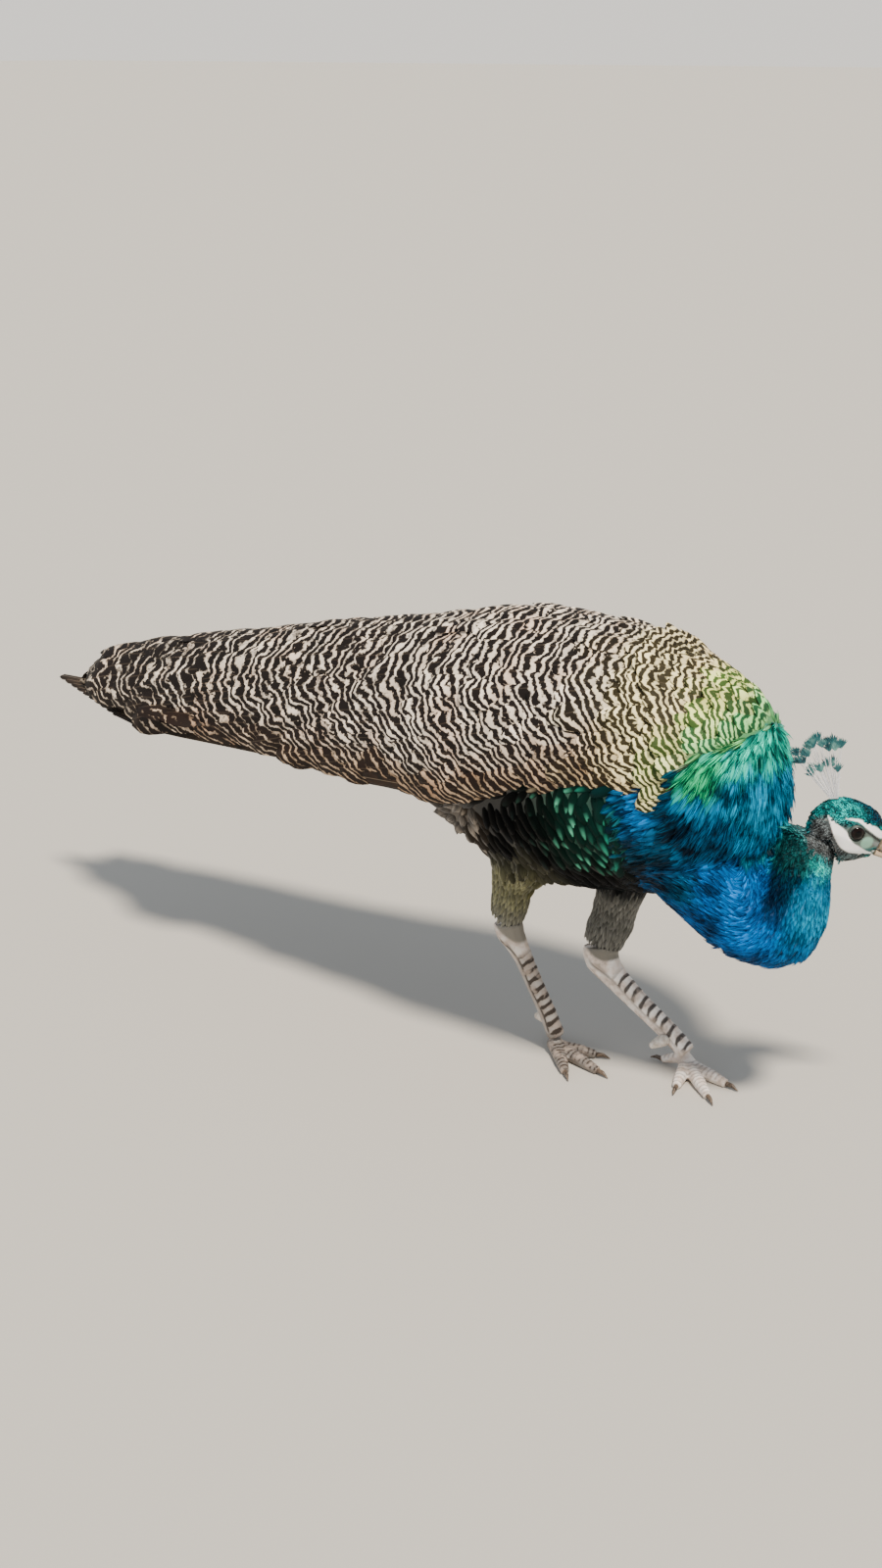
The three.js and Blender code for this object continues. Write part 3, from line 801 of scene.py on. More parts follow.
def laying_tree():
    tree = bpy.data.node_groups.new("lay_feathers", "GeometryNodeTree")
    tree.is_modifier = True
    for name, kind in FEATHER_INPUTS:
        tree.interface.new_socket(name, in_out="INPUT", socket_type=kind)
    tree.interface.new_socket("Feathers", in_out="OUTPUT", socket_type="NodeSocketGeometry")
    given = add(tree, "NodeGroupInput").outputs

    def math_node(operation, a, b):
        return add(tree, "ShaderNodeMath", {0: a, 1: b}, operation=operation).outputs[0]

    def named(name, kind):
        node = add(tree, "GeometryNodeInputNamedAttribute", {"Name": name}, data_type=kind)
        return node.outputs["Attribute"]

    def chance(low, high, offset):
        seed = math_node("ADD", given["Seed"], offset)
        node = add(tree, "FunctionNodeRandomValue", {2: low, 3: high, "Seed": seed}, data_type="FLOAT")
        return node.outputs[1]

    dense = math_node("DIVIDE", 3.0, math_node("MULTIPLY", given["Spacing"], given["Spacing"]))
    scatter = add(
        tree,
        "GeometryNodeDistributePointsOnFaces",
        {
            "Mesh": given["Skin"],
            "Distance Min": given["Spacing"],
            "Density Max": dense,
            "Density Factor": named(given["Tract"], "FLOAT"),
            "Seed": given["Seed"],
        },
        distribute_method="POISSON",
    )
    mark = add(
        tree,
        "GeometryNodeStoreNamedAttribute",
        {"Geometry": scatter.outputs["Points"], "Name": "chance", "Value": chance(0.0, 1.0, 5)},
        data_type="FLOAT",
        domain="POINT",
    )
    upright = add(
        tree,
        "FunctionNodeAxesToRotation",
        {"Primary Axis": scatter.outputs["Normal"], "Secondary Axis": named("lie", "FLOAT_VECTOR")},
        primary_axis="Z",
        secondary_axis="Y",
    )
    lift = math_node("MULTIPLY", given["Lift"], chance(0.6, 1.4, 1))
    roll = math_node("MULTIPLY", given["Scatter"], chance(-0.8, 0.8, 2))
    turn = math_node("MULTIPLY", given["Scatter"], chance(-1.0, 1.0, 3))
    tilt = add(tree, "ShaderNodeCombineXYZ", {"X": lift, "Y": roll, "Z": turn})
    euler = add(tree, "FunctionNodeEulerToRotation", {"Euler": tilt.outputs["Vector"]})
    laid = add(
        tree,
        "FunctionNodeRotateRotation",
        {"Rotation": upright.outputs["Rotation"], "Rotate By": euler.outputs["Rotation"]},
        rotation_space="LOCAL",
    )
    size = math_node("MULTIPLY", named("grow", "FLOAT"), chance(0.82, 1.18, 4))
    wide = math_node("MULTIPLY", size, given["Width"])
    long = math_node("MULTIPLY", size, given["Length"])
    scale = add(tree, "ShaderNodeCombineXYZ", {"X": wide, "Y": long, "Z": long})
    pattern = add(tree, "GeometryNodeObjectInfo", {"Object": given["Blank"]})
    planted = add(
        tree,
        "GeometryNodeInstanceOnPoints",
        {
            "Points": mark.outputs["Geometry"],
            "Instance": pattern.outputs["Geometry"],
            "Rotation": laid.outputs["Rotation"],
            "Scale": scale.outputs["Vector"],
        },
    )
    real = add(tree, "GeometryNodeRealizeInstances", {"Geometry": planted.outputs["Instances"]})
    patch = add(
        tree,
        "ShaderNodeVectorMath",
        {0: named("vane", "FLOAT_VECTOR"), 1: (PATCH,) * 3, 2: named("OFBake", "FLOAT_VECTOR")},
        operation="MULTIPLY_ADD",
    )
    mapped = add(
        tree,
        "GeometryNodeStoreNamedAttribute",
        {"Geometry": real.outputs["Geometry"], "Name": "OFBake", "Value": patch.outputs["Vector"]},
        data_type="FLOAT2",
        domain="CORNER",
    )
    done = add(
        tree,
        "GeometryNodeSetMaterial",
        {"Geometry": mapped.outputs["Geometry"], "Material": given["Finish"]},
    )
    add(tree, "NodeGroupOutput", {"Feathers": done.outputs["Geometry"]})
    return tree


feather_tree = laying_tree()
SOCKETS = {item.name: item.identifier for item in feather_tree.interface.items_tree if item.in_out == "INPUT"}
KEEP = ("position", "ground", "bright", "dusk", "chance", "vane", "OFBake", "sharp_edge", "material_index")


def lay_feathers(name, finish, blank, spacing, length, width, lift, scatter, seed, tract=None):
    """One piece of the coat on one tract. Sizes in mm, angles in degrees."""
    piece = link("feathers_" + name, skin.data)
    layer = piece.modifiers.new("lay", "NODES")
    layer.node_group = feather_tree
    values = {
        "Tract": "tract_" + (tract or name),
        "Blank": blank,
        "Finish": finish,
        "Spacing": spacing * MM,
        "Length": length * MM,
        "Width": width * MM,
        "Lift": math.radians(lift),
        "Scatter": math.radians(scatter),
        "Seed": seed,
    }
    for key, value in values.items():
        layer[SOCKETS[key]] = value
    settle(piece)
    for extra in [a.name for a in piece.data.attributes]:
        if extra not in KEEP and not extra.startswith("."):
            piece.data.attributes.remove(piece.data.attributes[extra])
    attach(piece, "root")
    triangles = sum(len(p.vertices) - 2 for p in piece.data.polygons)
    print(f"{piece.name}: {triangles} triangles")


# %% [markdown]
# ## What feathers are made of
# The web of a feather is a row of fine barbs on both sides of the shaft. It is matt and soft on the
# back, and on neck and breast it is a dark web whose tiny plates throw back one colour like metal.
# All finishes share the barbs, the shaft and a painted shade at the root, and each has its own pattern.

# %% Feather finishes


def mix_colour(tree, factor, a, b, blend="MIX"):
    inputs = {0: factor, 6: a, 7: b}
    return add(tree, "ShaderNodeMix", inputs, data_type="RGBA", blend_type=blend).outputs[2]


def plumage(
    name,
    pattern,
    metallic,
    roughness,
    barbs=16,
    relief=0.4,
    sheen=0.0,
    shaft=0.0,
    tint=0.0,
    gloss=0.2,
    flat=None,
):
    """A feather finish. pattern(tree, calc, vane) gives 0 for the ground and 1 for the bright part.
    Both colours come from the skin, or are the two of flat."""
    sockets = {"Metallic": metallic, "Sheen_Weight": sheen, "Specular_IOR_Level": gloss}
    material, tree, shader = finish_of(name, roughness, **sockets)

    def calc(operation, *values, clamp=False):
        inputs = dict(enumerate(values))
        return add(tree, "ShaderNodeMath", inputs, operation=operation, use_clamp=clamp).outputs[0]

    uv = add(tree, "ShaderNodeUVMap", uv_map="vane")
    parts = add(tree, "ShaderNodeSeparateXYZ", {0: uv.outputs[0]})
    u, v = parts.outputs[0], parts.outputs[1]
    across = calc("ABSOLUTE", calc("MULTIPLY_ADD", u, 2.0, -1.0))
    luck = add(tree, "ShaderNodeAttribute", attribute_name="chance").outputs["Fac"]
    vane = {"u": u, "v": v, "across": across, "luck": luck}
    factor = pattern(tree, calc, vane)
    if flat:
        dark, light = linear(flat[0]), linear(flat[1])
    else:
        dark = add(tree, "ShaderNodeAttribute", attribute_name="ground").outputs["Color"]
        light = add(tree, "ShaderNodeAttribute", attribute_name="bright").outputs["Color"]
    colour = mix_colour(tree, factor, dark, light)
    if shaft:
        line = calc("SUBTRACT", 1.0, calc("MULTIPLY", across, 22.0), clamp=True)
        colour = mix_colour(tree, calc("MULTIPLY", line, shaft), colour, linear("#b39f86"))
    if tint:
        here = add(tree, "ShaderNodeTexCoord").outputs["Object"]
        blotch = add(tree, "ShaderNodeTexNoise", {"Vector": here, "Scale": 24.0, "Detail": 2.0})
        stain = calc("MULTIPLY_ADD", blotch.outputs["Fac"], 5.0 * tint, -2.4 * tint, clamp=True)
        colour = mix_colour(tree, stain, colour, linear("#c58f68"), "MULTIPLY")
    # Random tone per feather, darkened towards the root: painted shade under overlapping feathers.
    varied = calc("MULTIPLY_ADD", luck, 0.34, 0.80)
    root_shade_and_tone = calc("MULTIPLY", varied, calc("MULTIPLY_ADD", v, 0.9, 0.45, clamp=True))
    shade = add(tree, "ShaderNodeCombineXYZ", {0: root_shade_and_tone, 1: root_shade_and_tone, 2: root_shade_and_tone}).outputs[0]
    colour = mix_colour(tree, 1.0, colour, shade, "MULTIPLY")
    tree.links.new(colour, shader.inputs["Base Color"])
    slant = calc("MULTIPLY_ADD", across, -0.35, v)
    ribs = calc("SINE", calc("MULTIPLY", slant, barbs * 2 * math.pi))
    bump = add(tree, "ShaderNodeBump", {"Strength": relief, "Distance": 0.0004, "Height": ribs})
    tree.links.new(bump.outputs["Normal"], shader.inputs["Normal"])
    return material


BAR_SPACING = 7.8  # of the stretched distance below, from one dark bar to the next
BAR_STRETCH, BAR_POWER = 14.4, 0.595  # a power under 1 sets the bars wider apart towards the tail
SIDE_SLOPE, SIDE_HEIGHT = 0.2, 0.361  # the line along the side, in metres, where the bars bend
BAR_WANDER = 2.6  # how far, on that measure, a feather's bars may be off its neighbours'


def bars(tree, calc, vane):
    """Wavy broken bars across the feathers, ring-like round the root of the neck."""
    here = add(tree, "ShaderNodeTexCoord").outputs["Object"]
    centre = tuple(place([BREAST_POINT])[0])
    ringed = add(tree, "ShaderNodeVectorMath", {0: here, 1: centre}, operation="DISTANCE")
    far = calc("MULTIPLY", ringed.outputs["Value"], 1000.0)
    along_body = calc("MULTIPLY", calc("POWER", far, BAR_POWER), BAR_STRETCH)
    parts = add(tree, "ShaderNodeSeparateXYZ", {0: here})
    side_line = calc("MULTIPLY_ADD", parts.outputs[0], SIDE_SLOPE, SIDE_HEIGHT)
    off_line = calc("MULTIPLY", calc("SUBTRACT", parts.outputs[2], side_line), 1000.0)
    bent = calc("SQRT", calc("ADD", calc("POWER", off_line, 2.0), 500.0))
    lower = calc("TANH", calc("MULTIPLY", off_line, 0.05))
    slanted = calc("MULTIPLY_ADD", bent, calc("MULTIPLY_ADD", lower, -0.19, 0.6), along_body)
    wave = add(tree, "ShaderNodeTexNoise", {"Vector": here, "Scale": 46.0, "Detail": 1.5})
    ragged_edge = add(tree, "ShaderNodeTexNoise", {"Vector": here, "Scale": 300.0, "Detail": 2.0})
    wobble = calc("MULTIPLY_ADD", wave.outputs["Fac"], 21.0, slanted)
    wobble = calc("MULTIPLY_ADD", ragged_edge.outputs["Fac"], 5.0, wobble)
    arched = calc("MULTIPLY_ADD", vane["across"], 3.6, wobble)
    offset = calc("MULTIPLY_ADD", vane["luck"], BAR_WANDER, arched)
    turn = calc("SINE", calc("MULTIPLY", offset, 2 * math.pi / BAR_SPACING))
    worn = add(tree, "ShaderNodeTexNoise", {"Vector": here, "Scale": 75.0, "Detail": 3.0})
    dusky = add(tree, "ShaderNodeAttribute", attribute_name="dusk").outputs["Fac"]
    dark_share = calc("MULTIPLY_ADD", worn.outputs["Fac"], 3.8, -1.88)
    dark_share = calc("MULTIPLY_ADD", dusky, -0.45, dark_share)
    return calc("MULTIPLY_ADD", turn, 1.4, dark_share, clamp=True)


def streaks(tree, calc, vane):
    """Fine loose barbs, some catching the light and some dark, in clumps."""
    drawn_out = calc("MULTIPLY", vane["v"], 0.16)
    uv = add(tree, "ShaderNodeCombineXYZ", {0: vane["u"], 1: drawn_out, 2: vane["luck"]})
    spaced = add(tree, "ShaderNodeVectorMath", {0: uv.outputs[0], 1: (1.0, 1.0, 9.0)}, operation="MULTIPLY")
    hair = add(tree, "ShaderNodeTexNoise", {"Vector": spaced.outputs[0], "Scale": 7.0, "Detail": 2.0})
    here = add(tree, "ShaderNodeTexCoord").outputs["Object"]
    clump = add(tree, "ShaderNodeTexNoise", {"Vector": here, "Scale": 48.0, "Detail": 2.5})
    lit = calc("MULTIPLY_ADD", hair.outputs["Fac"], 3.0, -1.4)
    lit = calc("ADD", lit, calc("MULTIPLY_ADD", clump.outputs["Fac"], 3.2, -1.22))
    webbed = calc("MULTIPLY_ADD", vane["across"], -1.9, 2.1, clamp=True)
    webbed = calc("MULTIPLY", webbed, calc("MULTIPLY_ADD", vane["v"], 1.6, 0.1, clamp=True))
    return calc("MULTIPLY", lit, webbed, clamp=True)


def scales(tree, calc, vane):
    """A bright crescent near the tip round a darker middle."""
    lengthwise = calc("MULTIPLY_ADD", vane["v"], 1.9, -0.95)
    squares = calc("ADD", calc("POWER", vane["across"], 2.0), calc("POWER", lengthwise, 2.0))
    off_ring = calc("ABSOLUTE", calc("SUBTRACT", calc("SQRT", squares), 0.72))
    ring_part = calc("SUBTRACT", 1.0, calc("MULTIPLY", off_ring, 3.6), clamp=True)
    here = add(tree, "ShaderNodeTexCoord").outputs["Object"]
    mottle = add(tree, "ShaderNodeTexNoise", {"Vector": here, "Scale": 150.0, "Detail": 2.0}).outputs["Fac"]
    glow = calc("MULTIPLY_ADD", mottle, 5.0, -2.0, clamp=True)
    some = calc("MULTIPLY_ADD", vane["luck"], 0.6, calc("MULTIPLY_ADD", glow, 0.9, 0.15))
    crescent = calc("MULTIPLY", ring_part, calc("MULTIPLY_ADD", vane["v"], 3.0, -0.9, clamp=True))
    return calc("MULTIPLY", calc("MULTIPLY_ADD", glow, 0.25, crescent), some, clamp=True)


def tips(tree, calc, vane):
    """Dark, with a bright drop at the tip of some feathers."""
    drop = calc("MULTIPLY_ADD", vane["v"], 3.0, -1.5, clamp=True)
    narrow = calc("MULTIPLY_ADD", vane["across"], -2.4, 1.4, clamp=True)
    some = calc("MULTIPLY_ADD", vane["luck"], 3.0, -1.3, clamp=True)
    return calc("MULTIPLY", calc("MULTIPLY", drop, narrow), some, clamp=True)


# Soft keratin web: quite matt, cream and brown, so that the bars show and nothing glints.
barred_web = plumage("matt barred feather web", bars, 0.0, 0.65, relief=0.12, shaft=0.1, tint=0.35)
# Barbs full of tiny plates: the colour itself shines like metal, in streaks along the feather.
blue_web = plumage("metallic blue feather web", streaks, 0.3, 0.42, barbs=10, relief=0.15, gloss=0.08)
# Short, stiff and curled: each catches the light in a crescent near its tip.
teal_web = plumage("metallic curled scale feathers", scales, 0.35, 0.4, barbs=4, relief=0.3, gloss=0.1)
# Black, with a green glint at the tips of about half of the feathers.
flank_web = plumage("black feather web with emerald tips", tips, 0.4, 0.5, relief=0.15, gloss=0.05)
# Sooty and loose: it swallows the light under the wing.
belly_web = plumage("sooty loose feather web", streaks, 0.1, 0.7, relief=0.15, gloss=0.05)
# Short down: dull, with a faint pale sheen at the edges.
down_web = plumage("short buff grey thigh down", streaks, 0.0, 0.8, barbs=5, relief=0.1, sheen=0.2)
# Scaly ear feathers: dark grey, a little glossy.
cheek_web = plumage("dark scaly ear feathers", scales, 0.1, 0.5, barbs=4)

# %% [markdown]
# ## The bare skin and the ground under the feathers
# The skin under the coat takes the ground colours, so that a gap between feathers looks dark and
# soft, and the bare face shows white, slightly pitted skin.

# %% Skin finish
# Thin skin: the light goes a little way in, so the white patches look soft, with fine pits.
depths = {"Subsurface_Weight": 0.08, "Subsurface_Scale": 0.002}
skin_finish, tree, shader = finish_of("living bird skin", 0.55, **depths)
dark = add(tree, "ShaderNodeAttribute", attribute_name="under_coat").outputs["Color"]
light = add(tree, "ShaderNodeAttribute", attribute_name="bare_colour").outputs["Color"]
bald = add(tree, "ShaderNodeAttribute", attribute_name="bare").outputs["Fac"]
seen = add(tree, "ShaderNodeMath", {0: bald, 1: 0.18}, operation="MAXIMUM")
tree.links.new(mix_colour(tree, seen.outputs[0], dark, light), shader.inputs["Base Color"])
here = add(tree, "ShaderNodeTexCoord").outputs["Object"]
pits = add(tree, "ShaderNodeTexNoise", {"Vector": here, "Scale": 900.0, "Detail": 2.0})
bump = add(tree, "ShaderNodeBump", {"Strength": 0.35, "Distance": 0.0003, "Height": pits.outputs["Fac"]})
tree.links.new(bump.outputs["Normal"], shader.inputs["Normal"])
skin.data.materials.clear()
skin.data.materials.append(skin_finish)

# %% Lay the coat
lay_feathers("wing", barred_web, contour, 12, 46, 32, 4, 6, 11)
lay_feathers("tail", barred_web, contour, 11, 50, 27, 4, 6, 12)
lay_feathers("shoulder", barred_web, contour, 7.5, 26, 17, 5, 8, 13)
lay_feathers("breast", blue_web, hackle, 5.0, 22, 9.5, 5, 10, 14)
lay_feathers("breast_strands", blue_web, loose, 7.5, 24, 9, 7, 12, 24, "breast")
lay_feathers("hackles", blue_web, hackle, 4.6, 24, 7, 7, 10, 22)
lay_feathers("hackle_strands", blue_web, loose, 5.0, 30, 9, 11, 14, 25, "hackles")
lay_feathers("flank", flank_web, contour, 7.5, 25, 10.5, 5, 10, 15)
lay_feathers("belly", belly_web, ragged, 7.5, 26, 12, 5, 12, 16)
lay_feathers("neck", blue_web, hackle, 3.3, 15, 5.4, 5, 10, 17)
lay_feathers("neck_strands", blue_web, loose, 4.2, 17, 7, 8, 14, 26, "neck")
lay_feathers("vent", down_web, ragged, 8.5, 24, 12, 3, 10, 28)
lay_feathers("nape", belly_web, loose, 4.6, 21, 9, 20, 20, 27)
lay_feathers("throat", teal_web, scale_blank, 1.9, 7, 4.6, 9, 18, 18)
lay_feathers("thigh", down_web, hackle, 3.6, 14, 5, 3, 8, 19)
lay_feathers("crown", teal_web, scale_blank, 1.4, 3.8, 2.4, 12, 30, 20)
lay_feathers("cheek", cheek_web, scale_blank, 1.6, 3.8, 3.0, 10, 24, 21)
for pattern in (contour, hackle, ragged, scale_blank, loose):
    bpy.data.objects.remove(pattern)

# %% [markdown]
# ## Eyes and lids
# A bird's eye is nearly all iris. The ball sits deep in its socket, the clear front bulges a
# little, and a thick wrinkled rim of bare skin frames it. The ball is a fine sphere that is turned
# to look sideways, with a number for the distance from its middle that colours pupil and iris.
# The rim is one closed profile carried round the opening.

# %% Eyes
EYE_RADIUS = 7.4


def ring_faces(rings, around, closed=False):
    """Quads between rings of points, and between the last and the first where it is closed."""
    faces = []
    for r in range(rings if closed else rings - 1):
        a, b = r * around, (r + 1) % rings * around
        for k in range(around):
            n = (k + 1) % around
            faces.append((a + k, a + n, b + n, b + k))
    return faces


def gaze(side):
    """The axes of an eye: out of the head, forward and up."""
    out = unit(side * LEFTWARD + 0.18 * FORWARD)
    fore = unit(FORWARD - out * (FORWARD @ out))
    return out, fore, np.cross(out, fore) * side


def eyeball(name, side, finish):
    out, fore, up_axis = gaze(side)
    centre = middle(name)
    around, rings = 40, 26
    points, spot = [], []
    for r in range(1, rings):
        polar = math.pi * r / rings
        bulge = 1 + 0.045 * math.exp(-((polar / 0.55) ** 2))
        for k in range(around):
            turn = 2 * math.pi * k / around
            d = out * math.cos(polar) + math.sin(polar) * (fore * math.cos(turn) + up_axis * math.sin(turn))
            points.append(centre + d * bulge * EYE_RADIUS * MM)
            spot.append(EYE_RADIUS * math.sin(polar) if polar < math.pi / 2 else 9.0)
    faces = ring_faces(rings - 1, around)
    points += [centre + out * 1.045 * EYE_RADIUS * MM, centre - out * EYE_RADIUS * MM]
    spot += [0.0, 9.0]
    front, back, last = len(points) - 2, len(points) - 1, (rings - 2) * around
    faces += [(front, (k + 1) % around, k) for k in range(around)]
    faces += [(back, last + k, last + (k + 1) % around) for k in range(around)]
    mesh = new_mesh(name + "_ball", points, faces)
    paint(mesh, "spot", "FLOAT", spot)
    tidy_normals(mesh)
    mesh.materials.append(finish)
    piece = link(name + "_ball", mesh)
    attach(piece, "root")
    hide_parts(name)


def tidy_normals(mesh):
    bm = bmesh.new()
    bm.from_mesh(mesh)
    bmesh.ops.recalc_face_normals(bm, faces=bm.faces)
    bm.to_mesh(mesh)
    bm.free()


# A wet eye: nearly black and very smooth, so that a light shows as one small sharp glint.
wet_eye, tree, shader = finish_of("wet brown eye", 0.06, Specular_IOR_Level=0.18)
spot = add(tree, "ShaderNodeAttribute", attribute_name="spot").outputs["Fac"]
tone = add(tree, "ShaderNodeMath", {0: spot, 1: EYE_RADIUS}, operation="DIVIDE")
EYE_STOPS = [(0.0, "#010101"), (0.38, "#010101"), (0.44, "#0e0705"), (0.62, "#150b08"), (0.8, "#050303")]
tree.links.new(ramp(tree, tone.outputs[0], EYE_STOPS), shader.inputs["Base Color"])
eyeball("eye_left", 1, wet_eye)
eyeball("eye_right", -1, wet_eye)

# %% Lids
LID_PROFILE = [(5.75, 4.3), (5.9, 4.85), (6.15, 5.0), (6.5, 4.8), (6.9, 4.5)]  # radius, height
LID_PROFILE += [(7.4, 4.0), (8.1, 3.2), (8.1, 2.4), (6.0, 2.6)]
LID_HEIGHT = 0.92  # the opening is a little wider than high


def lids(name, side, finish):
    out, fore, up_axis = gaze(side)
    centre = middle("eye_left" if side > 0 else "eye_right")
    around = 48
    points = []
    for radius, proud in LID_PROFILE:
        for k in range(around):
            turn = 2 * math.pi * k / around
            corner = (1.3 if math.cos(turn) > 0 else 0.3) * abs(math.cos(turn)) ** 8 * (radius < 7)
            fold = 0.16 * math.sin(9 * turn) * (radius > 7)
            d = fore * math.cos(turn) * (radius + corner) + up_axis * math.sin(turn) * radius * LID_HEIGHT
            points.append(centre + (out * (proud + fold - 0.4 * corner) + d) * MM)
    mesh = new_mesh(name, points, ring_faces(len(LID_PROFILE), around, closed=True))
    rims = [1.0 if radius < 6.4 else 0.0 for radius, _ in LID_PROFILE for _ in range(around)]
    paint(mesh, "rim", "FLOAT", rims)
    tidy_normals(mesh)
    mesh.materials.append(finish)
    piece = link(name, mesh)
    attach(piece, "root")


# Dry bare rim: grey, finely creased, and almost black at the wet edge.
lid_skin, tree, shader = finish_of("grey wrinkled lid skin", 0.5)
here = add(tree, "ShaderNodeTexCoord").outputs["Object"]
crinkle = add(tree, "ShaderNodeTexVoronoi", {"Vector": here, "Scale": 1400.0})
LID_STOPS = [(0.0, "#161c1b"), (0.5, "#2c3836"), (1.0, "#495a56")]
rim = add(tree, "ShaderNodeAttribute", attribute_name="rim").outputs["Fac"]
wrinkled = ramp(tree, crinkle.outputs["Distance"], LID_STOPS)
tree.links.new(mix_colour(tree, rim, wrinkled, linear("#0a0908")), shader.inputs["Base Color"])
creases = {"Strength": 0.5, "Distance": 0.0003, "Height": crinkle.outputs["Distance"]}
bump = add(tree, "ShaderNodeBump", creases)
tree.links.new(bump.outputs["Normal"], shader.inputs["Normal"])
lids("lids_left", 1, lid_skin)
lids("lids_right", -1, lid_skin)

# %% [markdown]
# ## The bill
# Horn over bone: the upper half overhangs the lower and hooks down at the tip, with a slit of a
# nostril on each side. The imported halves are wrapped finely, smoothed and pressed in at the
# nostrils. Horn is a little glossy, darker along the ridge, with faint growth lines.

# %% Bill halves


def reshape(piece, move, rounds=3):
    """Smooths a wrapped piece, then moves its points by a function of points and normals."""
    co, no, edges = read(piece.data)
    co = spread(co, edges, rounds)
    write(piece.data, co)
    co, no, edges = read(piece.data)
    write(piece.data, move(co, no))
    for poly in piece.data.polygons:
        poly.use_smooth = True
    return piece


def nostrils(co, no):
    f, l, u = in_head((co - WALK) / MM).T
    ahead = f - 37.5
    on_side = np.abs(l) > 2
    slit = np.clip(1 - (ahead / 4.2) ** 2 - ((u + 3.0 + 0.12 * ahead) / 1.5) ** 2, 0, 1) * on_side
    hood = np.exp(-(((f - 36.5) / 5) ** 2) - (((u + 0.6) / 1.4) ** 2)) * on_side
    return co + no * (0.35 * hood - 1.5 * slit)[:, None] * MM


def still(co, no):
    """Leaves the points where they are."""
    return co


BILL_VOXEL = 0.55
# Dry horn: a dull shine, paler at the sides and dark along the ridge.
horn, tree, shader = finish_of("grey brown bill horn", 0.38)
here = add(tree, "ShaderNodeTexCoord").outputs["Object"]
grain = add(tree, "ShaderNodeTexNoise", {"Vector": here, "Scale": 380.0, "Detail": 3.0})
ridge = add(tree, "ShaderNodeAttribute", attribute_name="ridge").outputs["Fac"]
shades = {0: grain.outputs["Fac"], 1: 0.35, 2: ridge}
horn_shade = add(tree, "ShaderNodeMath", shades, operation="MULTIPLY_ADD")
HORN_STOPS = [(0.0, "#b9a68e"), (0.45, "#8d7f6c"), (0.8, "#5d5246"), (1.0, "#40382f")]
tree.links.new(ramp(tree, horn_shade.outputs[0], HORN_STOPS), shader.inputs["Base Color"])
bump = add(tree, "ShaderNodeBump", {"Strength": 0.25, "Distance": 0.0003, "Height": grain.outputs["Fac"]})
tree.links.new(bump.outputs["Normal"], shader.inputs["Normal"])
for half, move in (("bill_upper", nostrils), ("bill_lower", still)):
    piece = reshape(wrapped(half + "_horn", [welded([half])], BILL_VOXEL), move)
    f, l, u = in_head((read(piece.data)[0] - WALK) / MM).T
    dark_ridge = smooth(u + 0.33 * (f - 27), 0, 8) if half == "bill_upper" else 0.2 * smooth(f, 30, 50)
    paint(piece.data, "ridge", "FLOAT", 0.75 * dark_ridge)
    piece.data.materials.append(horn)
    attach(piece, "root")
    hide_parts(half)
    print(piece.name, len(piece.data.polygons), "faces")

# %% [markdown]
# ## The crest
# Two dozen stiff shafts stand in a fan on the crown, nearly bare and whitish, each ending in a
# small fan of blue-green barbs. Every shaft and every barb is a thin tapered rod of four sides,
# placed by its share of the fan.

# %% Crest
CREST_COUNT = 24
CREST_REACH = 60.0
CREST_WISPS = 6  # short side barbs on the bare part of each shaft
CREST_BARBS = 13  # barbs in the fan at its end
rng = np.random.default_rng(7)


def rod(start, end, thick_start, thick_end, flat=1.0, across=(0, 1, 0)):
    """A tapered rod of four sides with closed ends, as points and faces in head millimetres."""
    start, end, across = (np.array(v, float) for v in (start, end, across))
    axis = unit(end - start)
    wide = unit(across - axis * (across @ axis))
    thin = np.cross(axis, wide)
    points = [start + s * thick_start * d for s, d in ((1, wide), (flat, thin), (-1, wide), (-flat, thin))]
    points += [end + s * thick_end * d for s, d in ((1, wide), (flat, thin), (-1, wide), (-flat, thin))]
    faces = [(k, (k + 1) % 4, 4 + (k + 1) % 4, 4 + k) for k in range(4)] + [(3, 2, 1, 0), (4, 5, 6, 7)]
    return points, faces


def gather(name, solids):
    """Many small solids in head millimetres as one mesh."""
    points, faces = [], []
    for p, f in solids:
        faces += [tuple(i + len(points) for i in face) for face in f]
        points += p
    mesh = bpy.data.meshes.new(name)
    mesh.from_pydata([tuple(q) for q in place(out_of_head(points))], [], faces)
    tidy_normals(mesh)
    return mesh


